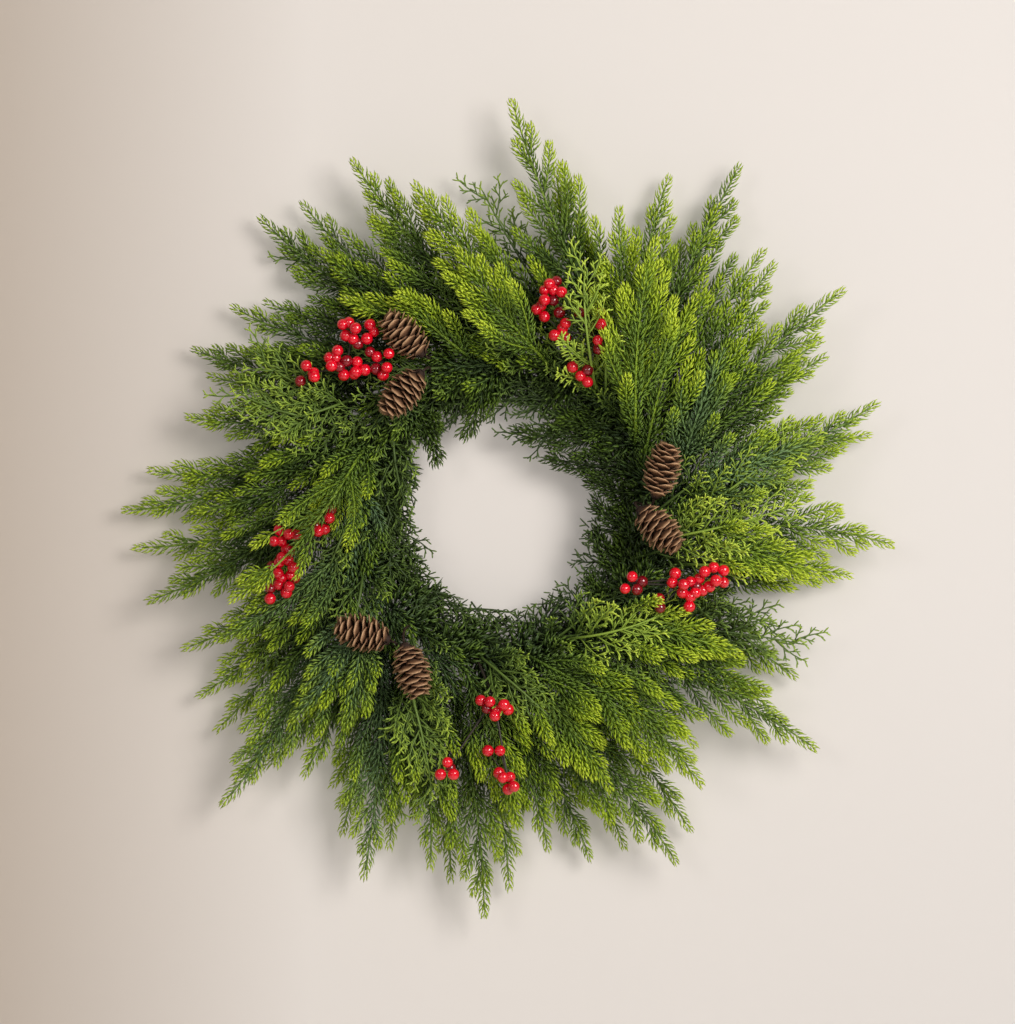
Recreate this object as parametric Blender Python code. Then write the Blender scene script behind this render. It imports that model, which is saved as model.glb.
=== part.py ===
"""Evergreen wreath: a wire frame with pine and cedar sprays, six cones and five berry picks.

The wreath hangs flat against a wall. X runs to the right, Z runs up, and the wall is the
plane y = 0, with the wreath in front of it at negative y. The origin is the point where a
nail or hook carries the hanging loop. Every spray, cone and pick starts at one of the two
rails of the frame, rises from it towards the front, and then lies along the wreath. Sprays
are set one after another, and each keeps clear of the pieces that are already there.
"""

import math
import random
from collections import namedtuple

import bmesh
import bpy
import numpy as np
from mathutils import Matrix, Vector

MM = 0.001
PI = math.pi

# Front view: the layout below is read from the front, in steps of 0.8 mm, y down.
GRID = 0.8 * MM
CENTRE = (500, 507)

# Wire frame
INNER_RAIL_RADIUS = 118 * MM
OUTER_RAIL_RADIUS = 146 * MM
RAIL_WIRE_RADIUS = 2.2 * MM
RAIL_SEGMENTS = 24
RAIL_SIDES = 6
TIE_COUNT = 6
TIE_RADIUS = 1.5 * MM
TIE_SIDES = 5
LOOP_RADIUS = 9 * MM
LOOP_WIRE_RADIUS = 1.5 * MM
LOOP_SEGMENTS = 12
LOOP_SIDES = 5
LOOP_TURN = 0.1
TIE_TURN = 0.3
TIE_OFFSET = 0.02
RAIL_FLAT = RAIL_WIRE_RADIUS * math.cos(PI / RAIL_SIDES)
RAIL_FRONT = 2 * RAIL_FLAT
HOOK_RISE = OUTER_RAIL_RADIUS + 2 * LOOP_RADIUS - LOOP_WIRE_RADIUS

# Seats and clearances
SEAT_GAP = 0.3 * MM
CLEARANCE = 0.6 * MM
SAMPLE_STEP = 3 * MM
FREE_START = 10 * MM
RAIL_SAMPLES = 240

# Pine sprays
STEM_RADIUS = 2.0 * MM
STEM_TIP_RADIUS = 1.3 * MM
STEM_POINTS = 4
TWIG_ROOT_RADIUS = 0.8 * MM
TWIG_TIP_RADIUS = 1.35 * MM
TWIG_POINTS = 2
CORE_SIDES = 3
CORE_FACE_TURN = PI / 6
NEEDLE_LENGTH = 8 * MM
NEEDLE_RADIUS = 0.45 * MM
NEEDLE_SIDES = 3
NEEDLE_LEAN = math.radians(42)
NEEDLE_SPACING = 18 * MM
FEWEST_NEEDLES = 3
FIRST_NEEDLE = 0.44
LAST_NEEDLE = 0.96
NEEDLE_REACH = 6.4 * MM
SPIKE_START = 0.1 * MM
CROTCH_BEFORE = 0.055
CROTCH_AFTER = 0.035
BARE_SHARE = 0.42
TWIG_SHARES = (0.5, 0.72)
TWIG_ANGLE = math.radians(36)
TWIG_LENGTH_SHARE = 0.58
TWIG_SHORTEST = 26 * MM
TWIG_LONGEST = 72 * MM
TWIG_STAGGER = 0.03
TWIG_BEND = 0.45

# Cedar sprays
CEDAR_STEM_RADIUS = 1.6 * MM
CEDAR_TIP_RADIUS = 1.1 * MM
CEDAR_SHARES = (0.42, 0.7)
CEDAR_BARE_SHARE = 0.3
CEDAR_ANGLE = math.radians(40)
BRANCHLET_ROOT_RADIUS = 0.8 * MM
BRANCHLET_TIP_RADIUS = 1.25 * MM
CEDAR_LENGTH_SHARE = 0.5
LEAFLET_LENGTH = 9 * MM
LEAFLET_RADIUS = 0.45 * MM
LEAFLET_COUNT = 3
LEAFLET_LEAN = math.radians(36)
FIRST_CROWN_LEAFLET = 0.8
CEDAR_REACH = 4.5 * MM
CEDAR_SEED = 900

# Depth of each layer in front of the wall, at the middle of a spray and at its tip
LAYERS = {"back": (20 * MM, 16 * MM), "middle": (40 * MM, 33 * MM), "front": (62 * MM, 56 * MM),
          "hole": (26 * MM, 30 * MM)}
STEM_LEAN = 0.08
STEM_RISE = 1.1
STEM_TURN = 0.55
STEM_BELLY = 4 * MM
NEAREST_WALL = 8 * MM

# What a spray tries in turn until it is clear: its depth and its seat, each in millimetres,
# and a twig's share of its full length, its tilt to the front and the share of its angle
DEPTH_TRIES = (0, 4, -3, 8, -6, 12, -9, 16, 20, 25, 30, 36, 42)
SEAT_TRIES = (0, 8, -8, 16, -16, 24, -24)
LENGTH_TRIES = (1.0, 0.85, 0.7, 0.55)
TILT_TRIES = (0.15, 0.6, -0.35, 1.0)
ANGLE_TRIES = (1.0, 0.75, 1.2)

# Cones
CONE_LENGTH = 50 * MM
CONE_RADIUS = 13.5 * MM
CONE_PROFILE = (0.2, 0.9, 0.75)
CONE_CORE_SHARE = 0.62
CONE_ROWS = 5
SCALES_A_ROW = 6
SCALE_OVERHANG = 5.5 * MM
SCALE_THICKNESS = 1.6 * MM
SCALE_LIP_SHARE = 0.94
SCALE_NOTCH = 0.2
SCALE_NOTCH_DROP = 0.45
CONE_FOOT_SHARE = 0.3
CONE_CROWN_SHARE = 0.25
CONE_CROWN_HEIGHT = 0.93
CONE_DEPTH = 72 * MM
CONE_TIP_DROP = 4 * MM
CONE_ROOM = 1.5 * MM
CONE_WIRE_RADIUS = 1.1 * MM
CONE_WIRE_RISE = 30 * MM
CONE_WIRE_LEAD = 16 * MM
CONE_WIRE_SINK = 6 * MM
CONE_WIRE_POINTS = 5

# Berry picks
BERRY_RADIUS = 4 * MM
BERRY_FACET_RADIUS = 4.4 * MM
PEDICEL_LENGTH = 11 * MM
STALK_ROOT_RADIUS = 0.5 * MM
STALK_RADIUS = 0.75 * MM
PICK_RADIUS = 1.1 * MM
KNOT_RADIUS = 1.8 * MM
FORK_RADIUS = 0.77 * MM
HUB_DEPTH = 68 * MM
PICK_RISE = 44.4 * MM
HUB_LEAD = 14 * MM
BRANCH_LEAD = 8 * MM
BRANCH_PAST = 1.2 * MM
BRANCH_SPREAD = 0.3
LEAST_BERRY_LIFT = 3 * MM
PICK_POINTS = 5
BRANCH_POINTS = 3

# Colours: red, green, blue in linear light
PINE_GREEN = (0.075, 0.17, 0.025)
CEDAR_GREEN = (0.11, 0.19, 0.05)
BERRY_RED = (0.56, 0.005, 0.02)
CONE_BROWN = (0.17, 0.09, 0.05)
WIRE_GREEN = (0.02, 0.05, 0.02)

SOLVER = "MANIFOLD"
FRONT = Vector((0, -1, 0))

Spray = namedtuple("Spray", "name root tip layer bow")
Habit = namedtuple("Habit", "shares angle length_share reach bare")
PINE_HABIT = Habit(TWIG_SHARES, TWIG_ANGLE, TWIG_LENGTH_SHARE, NEEDLE_REACH, BARE_SHARE)
CEDAR_HABIT = Habit(CEDAR_SHARES, CEDAR_ANGLE, CEDAR_LENGTH_SHARE, CEDAR_REACH, CEDAR_BARE_SHARE)
Cone = namedtuple("Cone", "name base tip")
Pick = namedtuple("Pick", "name root hubs berries")

CONES = [
    Cone("cone_upper_left_a", (427, 358), (384, 316)),
    Cone("cone_upper_left_b", (424, 371), (381, 419)),
    Cone("cone_lower_left_a", (393, 640), (338, 625)),
    Cone("cone_lower_left_b", (404, 640), (421, 697)),
    Cone("cone_right_a", (653, 500), (667, 447)),
    Cone("cone_right_b", (636, 507), (672, 543)),
]

PICKS = [
    Pick("berry_pick_upper_left", (370, 395), [(355, 332), (343, 363), (385, 362), (312, 374)],
         [(344, 326), (357, 330), (368, 340), (339, 352), (333, 367), (357, 373), (390, 355),
          (388, 369), (308, 367), (316, 378)]),
    Pick("berry_pick_top", (583, 352), [(551, 297), (560, 332), (598, 335)],
         [(549, 286), (561, 294), (544, 302), (565, 325), (554, 337), (600, 326), (597, 342)]),
    Pick("berry_pick_left", (352, 512), [(284, 536), (327, 525), (287, 562), (281, 590)],
         [(276, 541), (291, 534), (331, 518), (320, 531), (284, 557), (295, 567), (280, 573),
          (291, 586), (272, 598)]),
    Pick("berry_pick_right", (630, 595), [(630, 582), (683, 585), (710, 576)],
         [(631, 576), (624, 588), (674, 573), (682, 584), (694, 592), (703, 571), (714, 580),
          (722, 570)]),
    Pick("berry_pick_bottom", (470, 668), [(498, 706), (447, 768), (508, 780)],
         [(490, 700), (504, 703), (495, 714), (448, 760), (441, 772), (454, 772), (503, 775),
          (514, 784)]),
]

# Pine sprays in the order in which they are set: name, root, tip, layer, sideways bow
PINE_SPRAYS = [
    Spray("pine_top", (624, 380), (511, 97), "middle", 0.03),
    Spray("pine_top_right_a", (648, 410), (619, 208), "front", 0.05),
    Spray("pine_top_right_b", (640, 392), (671, 173), "back", 0.06),
    Spray("pine_top_right_c", (662, 432), (742, 162), "back", 0.06),
    Spray("pine_fan_a", (640, 450), (655, 240), "front", 0.05),
    Spray("pine_upper_right_a", (668, 460), (776, 262), "middle", 0.05),
    Spray("pine_upper_right_b", (660, 485), (845, 289), "back", 0.04),
    Spray("pine_right_a", (680, 500), (879, 402), "middle", -0.03),
    Spray("pine_right_c", (682, 530), (896, 546), "middle", 0.06),
    Spray("pine_right_d", (660, 560), (855, 577), "back", 0.04),
    Spray("pine_lower_right_a", (625, 600), (799, 679), "back", 0.05),
    Spray("pine_lower_right_b", (590, 642), (818, 751), "middle", 0.04),
    Spray("pine_lower_right_c", (572, 655), (702, 786), "front", 0.03),
    Spray("pine_bottom_right_b", (530, 672), (678, 865), "middle", 0.03),
    Spray("pine_bottom_right_c", (508, 660), (611, 791), "front", 0.04),
    Spray("pine_bottom_a", (505, 680), (591, 863), "back", 0.03),
    Spray("pine_bottom_b", (450, 655), (515, 828), "front", 0.06),
    Spray("pine_bottom_c", (455, 678), (484, 920), "middle", 0.03),
    Spray("pine_bottom_left_a", (385, 640), (363, 880), "middle", 0.03),
    Spray("pine_lower_left_b", (350, 588), (220, 806), "middle", 0.06),
    Spray("pine_left_a", (345, 555), (195, 698), "back", 0.05),
    Spray("pine_left_b", (348, 475), (145, 602), "middle", 0.05),
    Spray("pine_left_c", (372, 440), (232, 600), "front", 0.08),
    Spray("pine_left_d", (340, 450), (118, 510), "back", 0.07),
    Spray("pine_upper_left_a", (356, 405), (185, 416), "middle", 0.08),
    Spray("pine_upper_left_b", (380, 372), (190, 347), "back", 0.08),
    Spray("pine_upper_left_c", (440, 350), (258, 215), "back", 0.05),
    Spray("pine_top_left_a", (500, 340), (351, 158), "middle", 0.04),
    Spray("pine_top_left_b", (540, 335), (413, 183), "front", 0.03),
    Spray("pine_top_left_c", (556, 368), (456, 248), "front", 0.04),
]

# Cedar sprays in the same form
CEDAR_SPRAYS = [
    Spray("cedar_hole_left", (372, 425), (414, 556), "hole", -0.10),
    Spray("cedar_hole_bottom", (378, 590), (476, 603), "hole", 0.06),
    Spray("cedar_hole_top", (604, 418), (504, 400), "hole", -0.05),
    Spray("cedar_hole_right", (627, 580), (566, 539), "hole", 0.03),
    Spray("cedar_upper_left", (352, 430), (238, 392), "front", 0.06),
    Spray("cedar_top_left", (575, 345), (483, 190), "back", 0.02),
    Spray("cedar_top_front", (598, 395), (584, 270), "front", 0.04),
    Spray("cedar_right", (655, 545), (792, 505), "front", -0.03),
    Spray("cedar_lower_right", (560, 640), (664, 612), "front", -0.05),
    Spray("cedar_right_low", (640, 625), (800, 644), "middle", 0.02),
    Spray("cedar_bottom", (400, 662), (432, 792), "front", 0.03),
]


def place(grid_point, depth):
    """A point of the front view at a depth in front of the wall."""
    across, down = grid_point
    return Vector(((across - CENTRE[0]) * GRID, -depth, (CENTRE[1] - down) * GRID))


def seat_on_rail(grid_point):
    """The nearest spot on the front of a rail, one seat gap off it."""
    flat = place(grid_point, 0)
    angle = math.atan2(flat.z, flat.x)
    middle = (INNER_RAIL_RADIUS + OUTER_RAIL_RADIUS) / 2
    radius = INNER_RAIL_RADIUS if math.hypot(flat.x, flat.z) < middle else OUTER_RAIL_RADIUS
    segment = 2 * PI / RAIL_SEGMENTS
    along = (angle / segment - math.floor(angle / segment) - 0.5) * segment
    radius *= math.cos(segment / 2) / math.cos(along)
    return Vector((radius * math.cos(angle), -RAIL_FRONT - SEAT_GAP, radius * math.sin(angle)))


def bezier(p0, p1, p2, p3, count):
    """Points along a cubic curve."""
    points = []
    for step in range(count):
        t = step / (count - 1)
        s = 1 - t
        points.append(p0 * s**3 + p1 * (3 * s * s * t) + p2 * (3 * s * t * t) + p3 * t**3)
    return points


def stem_curve(spray, root, depth_shift):
    """The four control points of a spray's main stem.

    It rises off its rail to the depth of its layer, bows to one side by a share of its
    length, and comes down to its tip.
    """
    middle_depth, tip_depth = LAYERS[spray.layer]
    middle_depth = max(middle_depth + depth_shift, NEAREST_WALL)
    tip = place(spray.tip, max(tip_depth + depth_shift, NEAREST_WALL))
    run = Vector((tip.x - root.x, 0, tip.z - root.z))
    side = Vector((-run.z, 0, run.x))
    risen = root + run * STEM_LEAN + FRONT * (middle_depth + root.y) * STEM_RISE
    turned = root + run * STEM_TURN + side * spray.bow * 2
    turned.y = -middle_depth - STEM_BELLY
    return root, risen, turned, tip


def curve_point(curve, t):
    """Point and direction on a cubic curve."""
    p0, p1, p2, p3 = curve
    s = 1 - t
    point = p0 * s**3 + p1 * (3 * s * s * t) + p2 * (3 * s * t * t) + p3 * t**3
    slope = (p1 - p0) * (3 * s * s) + (p2 - p1) * (6 * s * t) + (p3 - p2) * (3 * t * t)
    return point, slope.normalized()


def curve_length(curve):
    """Length of a cubic curve."""
    points = bezier(*curve, 24)
    return sum((b - a).length for a, b in zip(points, points[1:]))


class Space:
    """The room that pieces already take, as spheres along each of them."""

    def __init__(self):
        self.centres = np.zeros((0, 3))
        self.radii = np.zeros(0)

    def add(self, points, radii):
        self.centres = np.vstack([self.centres, np.array(points, float).reshape(-1, 3)])
        self.radii = np.concatenate([self.radii, np.array(radii, float)])

    def room(self, points, radii):
        """The least distance to what is there, less both radii."""
        if not len(self.centres):
            return 1.0
        points = np.array(points, float).reshape(-1, 1, 3)
        apart = np.linalg.norm(points - self.centres, axis=2)
        return float((apart - self.radii - np.array(radii)[:, None]).min())


def samples(curve, start, end, reach):
    """Spheres along a stretch of a curve: their centres and their radii."""
    count = max(2, int(curve_length(curve) * (end - start) / SAMPLE_STEP))
    shares = [start + (end - start) * step / (count - 1) for step in range(count)]
    return [curve_point(curve, share)[0] for share in shares], [reach] * count


def stem_samples(curve, reach, bare):
    """Spheres along a main stem: slim on its bare part, wide where it has needles."""
    free = min(0.9, FREE_START / curve_length(curve))
    points, radii = samples(curve, free, bare, STEM_RADIUS)
    more_points, more_radii = samples(curve, bare, 1.0, reach)
    return points + more_points, radii + more_radii


def core_point(points, share):
    """The point at a share of the way along a core's straight stretches."""
    stretch = min(int(share * (len(points) - 1)), len(points) - 2)
    return points[stretch].lerp(points[stretch + 1], share * (len(points) - 1) - stretch)


def twig_curve(stem, share, side, angle, tilt, length):
    """A side twig: it leaves the stem at an angle and bends towards the stem's direction."""
    point = core_point(bezier(*stem, STEM_POINTS), share)
    along = curve_point(stem, share)[1]
    across = along.cross(FRONT).normalized() * side
    normal = across.cross(along) * side
    across = (across * math.cos(tilt) + normal * math.sin(tilt)).normalized()
    first = along * math.cos(angle) + across * math.sin(angle)
    last = along * math.cos(angle * TWIG_BEND) + across * math.sin(angle * TWIG_BEND)
    p1 = point + first * length * 0.35
    p3 = point + first * length * (1 - TWIG_BEND) + last * length * TWIG_BEND
    p2 = p3 - last * length * 0.3
    return point, p1, p2, p3


def clear_twig(space, stem, share, side, angle, length, reach):
    """The longest twig that keeps clear of the other pieces, or None."""
    for factor in LENGTH_TRIES:
        for tilt in TILT_TRIES:
            for turn in ANGLE_TRIES:
                curve = twig_curve(stem, share, side, angle * turn, tilt, length * factor)
                points, radii = samples(curve, 0.15, 1.0, reach)
                if min(-point.y for point in points) < NEAREST_WALL:
                    continue
                if space.room(points, radii) > CLEARANCE:
                    return curve
    return None


def clear_stem(space, spray, reach, bare):
    """The main stem at the first depth, and the first seat, that keep it clear."""
    best = None
    best_room = 0
    middle = Vector(CENTRE)
    for slide in SEAT_TRIES:
        turn = Matrix.Rotation(slide * MM / OUTER_RAIL_RADIUS, 2)
        root = seat_on_rail(turn @ (Vector(spray.root) - middle) + middle)
        for shift in DEPTH_TRIES:
            curve = stem_curve(spray, root, shift * MM)
            points, radii = stem_samples(curve, reach, bare)
            room = space.room(points, radii)
            if room > CLEARANCE:
                return curve
            if best is None or room > best_room:
                best = curve
                best_room = room
    return best


def set_spray(space, spray, habit):
    """The main stem and the side twigs of a spray, added to the room that is taken."""
    stem = clear_stem(space, spray, habit.reach, habit.bare)
    length = curve_length(stem)
    twigs = []
    for share in habit.shares:
        for side in (1, -1):
            twig_length = habit.length_share * length * (1 - share)
            twig_length = min(max(twig_length, TWIG_SHORTEST), TWIG_LONGEST)
            twig = clear_twig(space, stem, share + TWIG_STAGGER * side, side, habit.angle,
                              twig_length, habit.reach)
            if twig:
                twigs.append(twig)
    points, radii = stem_samples(stem, habit.reach, habit.bare)
    for twig in twigs:
        more_points, more_radii = samples(twig, 0.0, 1.0, habit.reach)
        points += more_points
        radii += more_radii
    space.add(points, radii)
    return stem, twigs


def frame_of(direction):
    """A rotation whose Z axis is the direction."""
    return direction.to_track_quat("Z", "Y").to_matrix().to_4x4()


def new_object(name, bm, material, collection):
    """A mesh object in the collection, from a bmesh that it frees."""
    bmesh.ops.recalc_face_normals(bm, faces=bm.faces)
    mesh = bpy.data.meshes.new(name)
    bm.to_mesh(mesh)
    bm.free()
    if material:
        mesh.materials.append(material)
    piece = bpy.data.objects.new(name, mesh)
    piece.location.z = -HOOK_RISE
    collection.objects.link(piece)
    return piece


def grow(bm, points, radii, sides, turn=0.0, seated=False):
    """A closed rod through the points: a polygon, extruded from point to point.

    A seated rod starts with a face flat against its rail. It returns the turn of the rod at
    each point, as rotation matrices.
    """
    directions = [(b - a).normalized() for a, b in zip(points, points[1:])]
    directions = [directions[0]] + [
        (a + b).normalized() for a, b in zip(directions, directions[1:])] + [directions[-1]]
    here = frame_of(directions[0]) @ Matrix.Rotation(turn, 4, "Z")
    made = bmesh.ops.create_circle(bm, cap_ends=True, segments=sides, radius=radii[0],
                                   matrix=Matrix.Translation(points[0]) @ here)
    face = made["verts"][0].link_faces[0]
    frames = [here]
    if seated:
        for vert in made["verts"]:
            vert.co.y = points[0].y
    for index in range(1, len(points)):
        swing = directions[index - 1].rotation_difference(directions[index]).to_matrix()
        there = swing.to_4x4() @ here
        grown = bmesh.ops.extrude_face_region(bm, geom=[face])["geom"]
        if index > 1:
            bmesh.ops.delete(bm, geom=[face], context="FACES_ONLY")
        face = next(item for item in grown if isinstance(item, bmesh.types.BMFace))
        scale = Matrix.Scale(radii[index] / radii[index - 1], 4)
        move = (Matrix.Translation(points[index]) @ there @ scale @ here.inverted()
                @ Matrix.Translation(-points[index - 1]))
        bmesh.ops.transform(bm, matrix=move, verts=face.verts)
        here = there
        frames.append(here)
    return frames


def spike(bm, root, direction, length, radius):
    """A pointed needle or leaflet that starts inside its core."""
    where = Matrix.Translation(root + direction * length / 2) @ frame_of(direction)
    bmesh.ops.create_cone(bm, cap_ends=True, segments=NEEDLE_SIDES, radius1=radius,
                          radius2=0.0, depth=length, matrix=where)


def add_spikes(bm, points, frames, shares, lean, length, radius, flat=False):
    """Spikes out of the middle of a core's sides, one at each share of its length.

    They stand on all sides in turn or, where they lie flat, left and right in turn.
    """
    for index, share in enumerate(shares):
        stretch = min(int(share * (len(points) - 1)), len(points) - 2)
        point = core_point(points, share)
        along = (points[stretch + 1] - points[stretch]).normalized()
        turn = CORE_FACE_TURN + index * 2 * PI / CORE_SIDES
        around = (frames[stretch] @ Vector((math.cos(turn), math.sin(turn), 0))).normalized()
        if flat:
            around = along.cross(FRONT).normalized() * (-1) ** index
        direction = (along * math.cos(lean) + around * math.sin(lean)).normalized()
        spike(bm, point + around * SPIKE_START, direction, length, radius)


def even_shares(start, end, count):
    """Evenly spaced shares of a length."""
    return [start + (end - start) * step / (count - 1) for step in range(count)]


def off_crotches(shares, habit):
    """The shares with those at a side twig's root left out."""
    roots = [share + side * TWIG_STAGGER for share in habit.shares for side in (1, -1)]
    return [share for share in shares
            if not any(root - CROTCH_BEFORE < share < root + CROTCH_AFTER for root in roots)]


def join(base, extras):
    """Joins the extras to the base by one Boolean union, and removes them."""
    helpers = bpy.data.collections.new(base.name + "_repeats")
    bpy.context.scene.collection.children.link(helpers)
    for extra in extras:
        extra.users_collection[0].objects.unlink(extra)
        helpers.objects.link(extra)
    union = base.modifiers.new("join", "BOOLEAN")
    union.operation = "UNION"
    union.operand_type = "COLLECTION"
    union.collection = helpers
    union.solver = SOLVER
    graph = bpy.context.evaluated_depsgraph_get()
    graph.update()
    joined = bpy.data.meshes.new_from_object(base.evaluated_get(graph), depsgraph=graph)
    base.modifiers.clear()
    old = base.data
    base.data = joined
    bpy.data.meshes.remove(old)
    for extra in extras:
        bpy.data.objects.remove(extra)
    bpy.data.collections.remove(helpers)
    drop_scraps(base)


def drop_scraps(piece):
    """Keeps the largest connected body of a piece."""
    bm = bmesh.new()
    bm.from_mesh(piece.data)
    left = set(bm.verts)
    bodies = []
    while left:
        stack = [left.pop()]
        body = []
        while stack:
            vert = stack.pop()
            body.append(vert)
            for edge in vert.link_edges:
                other = edge.other_vert(vert)
                if other in left:
                    left.remove(other)
                    stack.append(other)
        bodies.append(body)
    bodies.sort(key=len)
    for body in bodies[:-1]:
        bmesh.ops.delete(bm, geom=body, context="VERTS")
    bm.to_mesh(piece.data)
    bm.free()


def make_material(name, colour, roughness, metallic=0.0):
    """A plain finish of one colour."""
    material = bpy.data.materials.new(name)
    material.use_nodes = True
    shader = material.node_tree.nodes["Principled BSDF"]
    shader.inputs["Base Color"].default_value = (*colour, 1.0)
    shader.inputs["Roughness"].default_value = roughness
    shader.inputs["Metallic"].default_value = metallic
    return material


def ring(name, radius, wire, segments, sides, height, turn, collection):
    """A ring of wire that stands upright, with its back on the wall."""
    bpy.ops.mesh.primitive_torus_add(major_radius=radius, minor_radius=wire,
                                     major_segments=segments, minor_segments=sides)
    piece = bpy.context.object
    piece.name = name
    piece.data.name = name
    upright = Matrix.Rotation(PI / 2, 4, "X") @ Matrix.Rotation(turn, 4, "Z")
    piece.data.transform(Matrix.Translation((0, -RAIL_FLAT, height)) @ upright)
    for owner in list(piece.users_collection):
        owner.objects.unlink(piece)
    collection.objects.link(piece)
    piece.location.z = -HOOK_RISE
    return piece


def build_frame(collection):
    """Two rails joined by short ties, with a hanging loop at the top, as one welded wire form."""
    frame = ring("wire_frame", OUTER_RAIL_RADIUS, RAIL_WIRE_RADIUS, RAIL_SEGMENTS, RAIL_SIDES,
                 0, 0, collection)
    inner = ring("inner_rail", INNER_RAIL_RADIUS, RAIL_WIRE_RADIUS, RAIL_SEGMENTS, RAIL_SIDES,
                 0, 0, collection)
    loop = ring("loop", LOOP_RADIUS, LOOP_WIRE_RADIUS, LOOP_SEGMENTS, LOOP_SIDES,
                OUTER_RAIL_RADIUS + LOOP_RADIUS, LOOP_TURN, collection)
    ties = bmesh.new()
    for index in range(TIE_COUNT):
        angle = 2 * PI * (index + 0.5) / TIE_COUNT + TIE_OFFSET
        outward = Vector((math.cos(angle), 0, math.sin(angle)))
        start = outward * INNER_RAIL_RADIUS + FRONT * RAIL_FLAT
        end = outward * OUTER_RAIL_RADIUS + FRONT * RAIL_FLAT
        grow(ties, [start, end], [TIE_RADIUS] * 2, TIE_SIDES, turn=TIE_TURN)
    ties = new_object("ties", ties, None, collection)
    join(frame, [inner, loop, ties])
    frame.data.materials.clear()
    frame.data.materials.append(make_material("frame_wire", WIRE_GREEN, 0.45, 0.3))
    return frame


def cone_profile(share):
    """The cone's radius over its scales, from its stalk at 0 to its tip at 1."""
    start, end, fullness = CONE_PROFILE
    return CONE_RADIUS * math.sin(PI * (start + (end - start) * share)) ** fullness


def cone_rings():
    """Radius, height and lobe depth of each ring of a cone, row by row, and its half turn.

    Each row starts in a groove, comes out under its scales to their lip, and goes over the
    lip. The next groove lies lower than that lip, so the scales overhang it.
    """
    rings = []
    for row in range(CONE_ROWS):
        share = (row + 0.5) / CONE_ROWS
        height = share * (CONE_LENGTH - SCALE_OVERHANG)
        radius = cone_profile(share)
        half = row % 2
        lip = height + SCALE_OVERHANG
        rings.append((radius * CONE_CORE_SHARE, height - SCALE_THICKNESS, 0.0, half))
        rings.append((radius * SCALE_LIP_SHARE, lip - SCALE_THICKNESS, 1.0, half))
        rings.append((radius, lip, 1.0, half))
    return rings


def grow_cone_body(bm):
    """A cone along +Z: a polygon extruded from ring to ring, with lobes for its scales."""
    sides = SCALES_A_ROW * 2
    made = bmesh.ops.create_circle(bm, cap_ends=True, segments=sides,
                                   radius=CONE_RADIUS * CONE_FOOT_SHARE)
    face = made["verts"][0].link_faces[0]
    rings = cone_rings()
    rings.append((CONE_RADIUS * CONE_CROWN_SHARE, CONE_LENGTH * CONE_CROWN_HEIGHT, 0.0, 0))
    for index, (radius, height, lobes, half) in enumerate(rings):
        grown = bmesh.ops.extrude_face_region(bm, geom=[face])["geom"]
        if index > 0:
            bmesh.ops.delete(bm, geom=[face], context="FACES_ONLY")
        face = next(item for item in grown if isinstance(item, bmesh.types.BMFace))
        for vert in face.verts:
            turn = math.atan2(vert.co.y, vert.co.x)
            step = round(turn / (2 * PI / sides))
            notch = lobes * ((step + half) % 2)
            reach = radius * (1 - SCALE_NOTCH * notch)
            drop = notch * SCALE_OVERHANG * SCALE_NOTCH_DROP
            vert.co = Vector((math.cos(turn) * reach, math.sin(turn) * reach, height - drop))


def build_cone(space, cone, material, collection):
    """A cone of overlapping woody scales, on its wire from the frame."""
    base = place(cone.base, CONE_DEPTH)
    tip = place(cone.tip, CONE_DEPTH - CONE_TIP_DROP)
    axis = (tip - base).normalized()
    body = bmesh.new()
    grow_cone_body(body)
    bmesh.ops.transform(body, matrix=Matrix.Translation(base) @ frame_of(axis), verts=body.verts)
    piece = new_object(cone.name, body, material, collection)
    wire = bmesh.new()
    root = seat_on_rail(cone.base)
    points = bezier(root, root + FRONT * CONE_WIRE_RISE, base - axis * CONE_WIRE_LEAD,
                    base + axis * CONE_WIRE_SINK, CONE_WIRE_POINTS)
    radii = [CONE_WIRE_RADIUS] * CONE_WIRE_POINTS
    grow(wire, points, radii, CORE_SIDES, seated=True)
    join(piece, [new_object("cone_wire", wire, material, collection)])
    for share in even_shares(0, 1, 12):
        space.add([base + axis * CONE_LENGTH * share], [cone_profile(share) + CONE_ROOM])
    space.add(points, radii)


def build_branch(fork, hub, name, material, collection):
    """A side stem of a pick, with a knot at the end: its object and its control points."""
    controls = (fork, fork.lerp(hub, BRANCH_SPREAD), hub - FRONT * BRANCH_LEAD)
    branch = bmesh.new()
    points = bezier(*controls, hub + FRONT * BRANCH_PAST, BRANCH_POINTS)
    grow(branch, points, [FORK_RADIUS, PICK_RADIUS, KNOT_RADIUS], CORE_SIDES)
    return new_object(name, branch, material, collection), (*controls, hub)


def build_berry(hub, centre, name, material, collection):
    """One berry and the stalk that holds it to its knot."""
    berry = bmesh.new()
    bmesh.ops.create_icosphere(berry, subdivisions=1, radius=BERRY_FACET_RADIUS,
                               matrix=Matrix.Translation(centre) @ frame_of(centre - hub))
    stalk = bmesh.new()
    grow(stalk, [hub, centre], [STALK_ROOT_RADIUS, STALK_RADIUS], CORE_SIDES)
    return [new_object(name, berry, material, collection),
            new_object(name + "_stalk", stalk, material, collection)]


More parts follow.
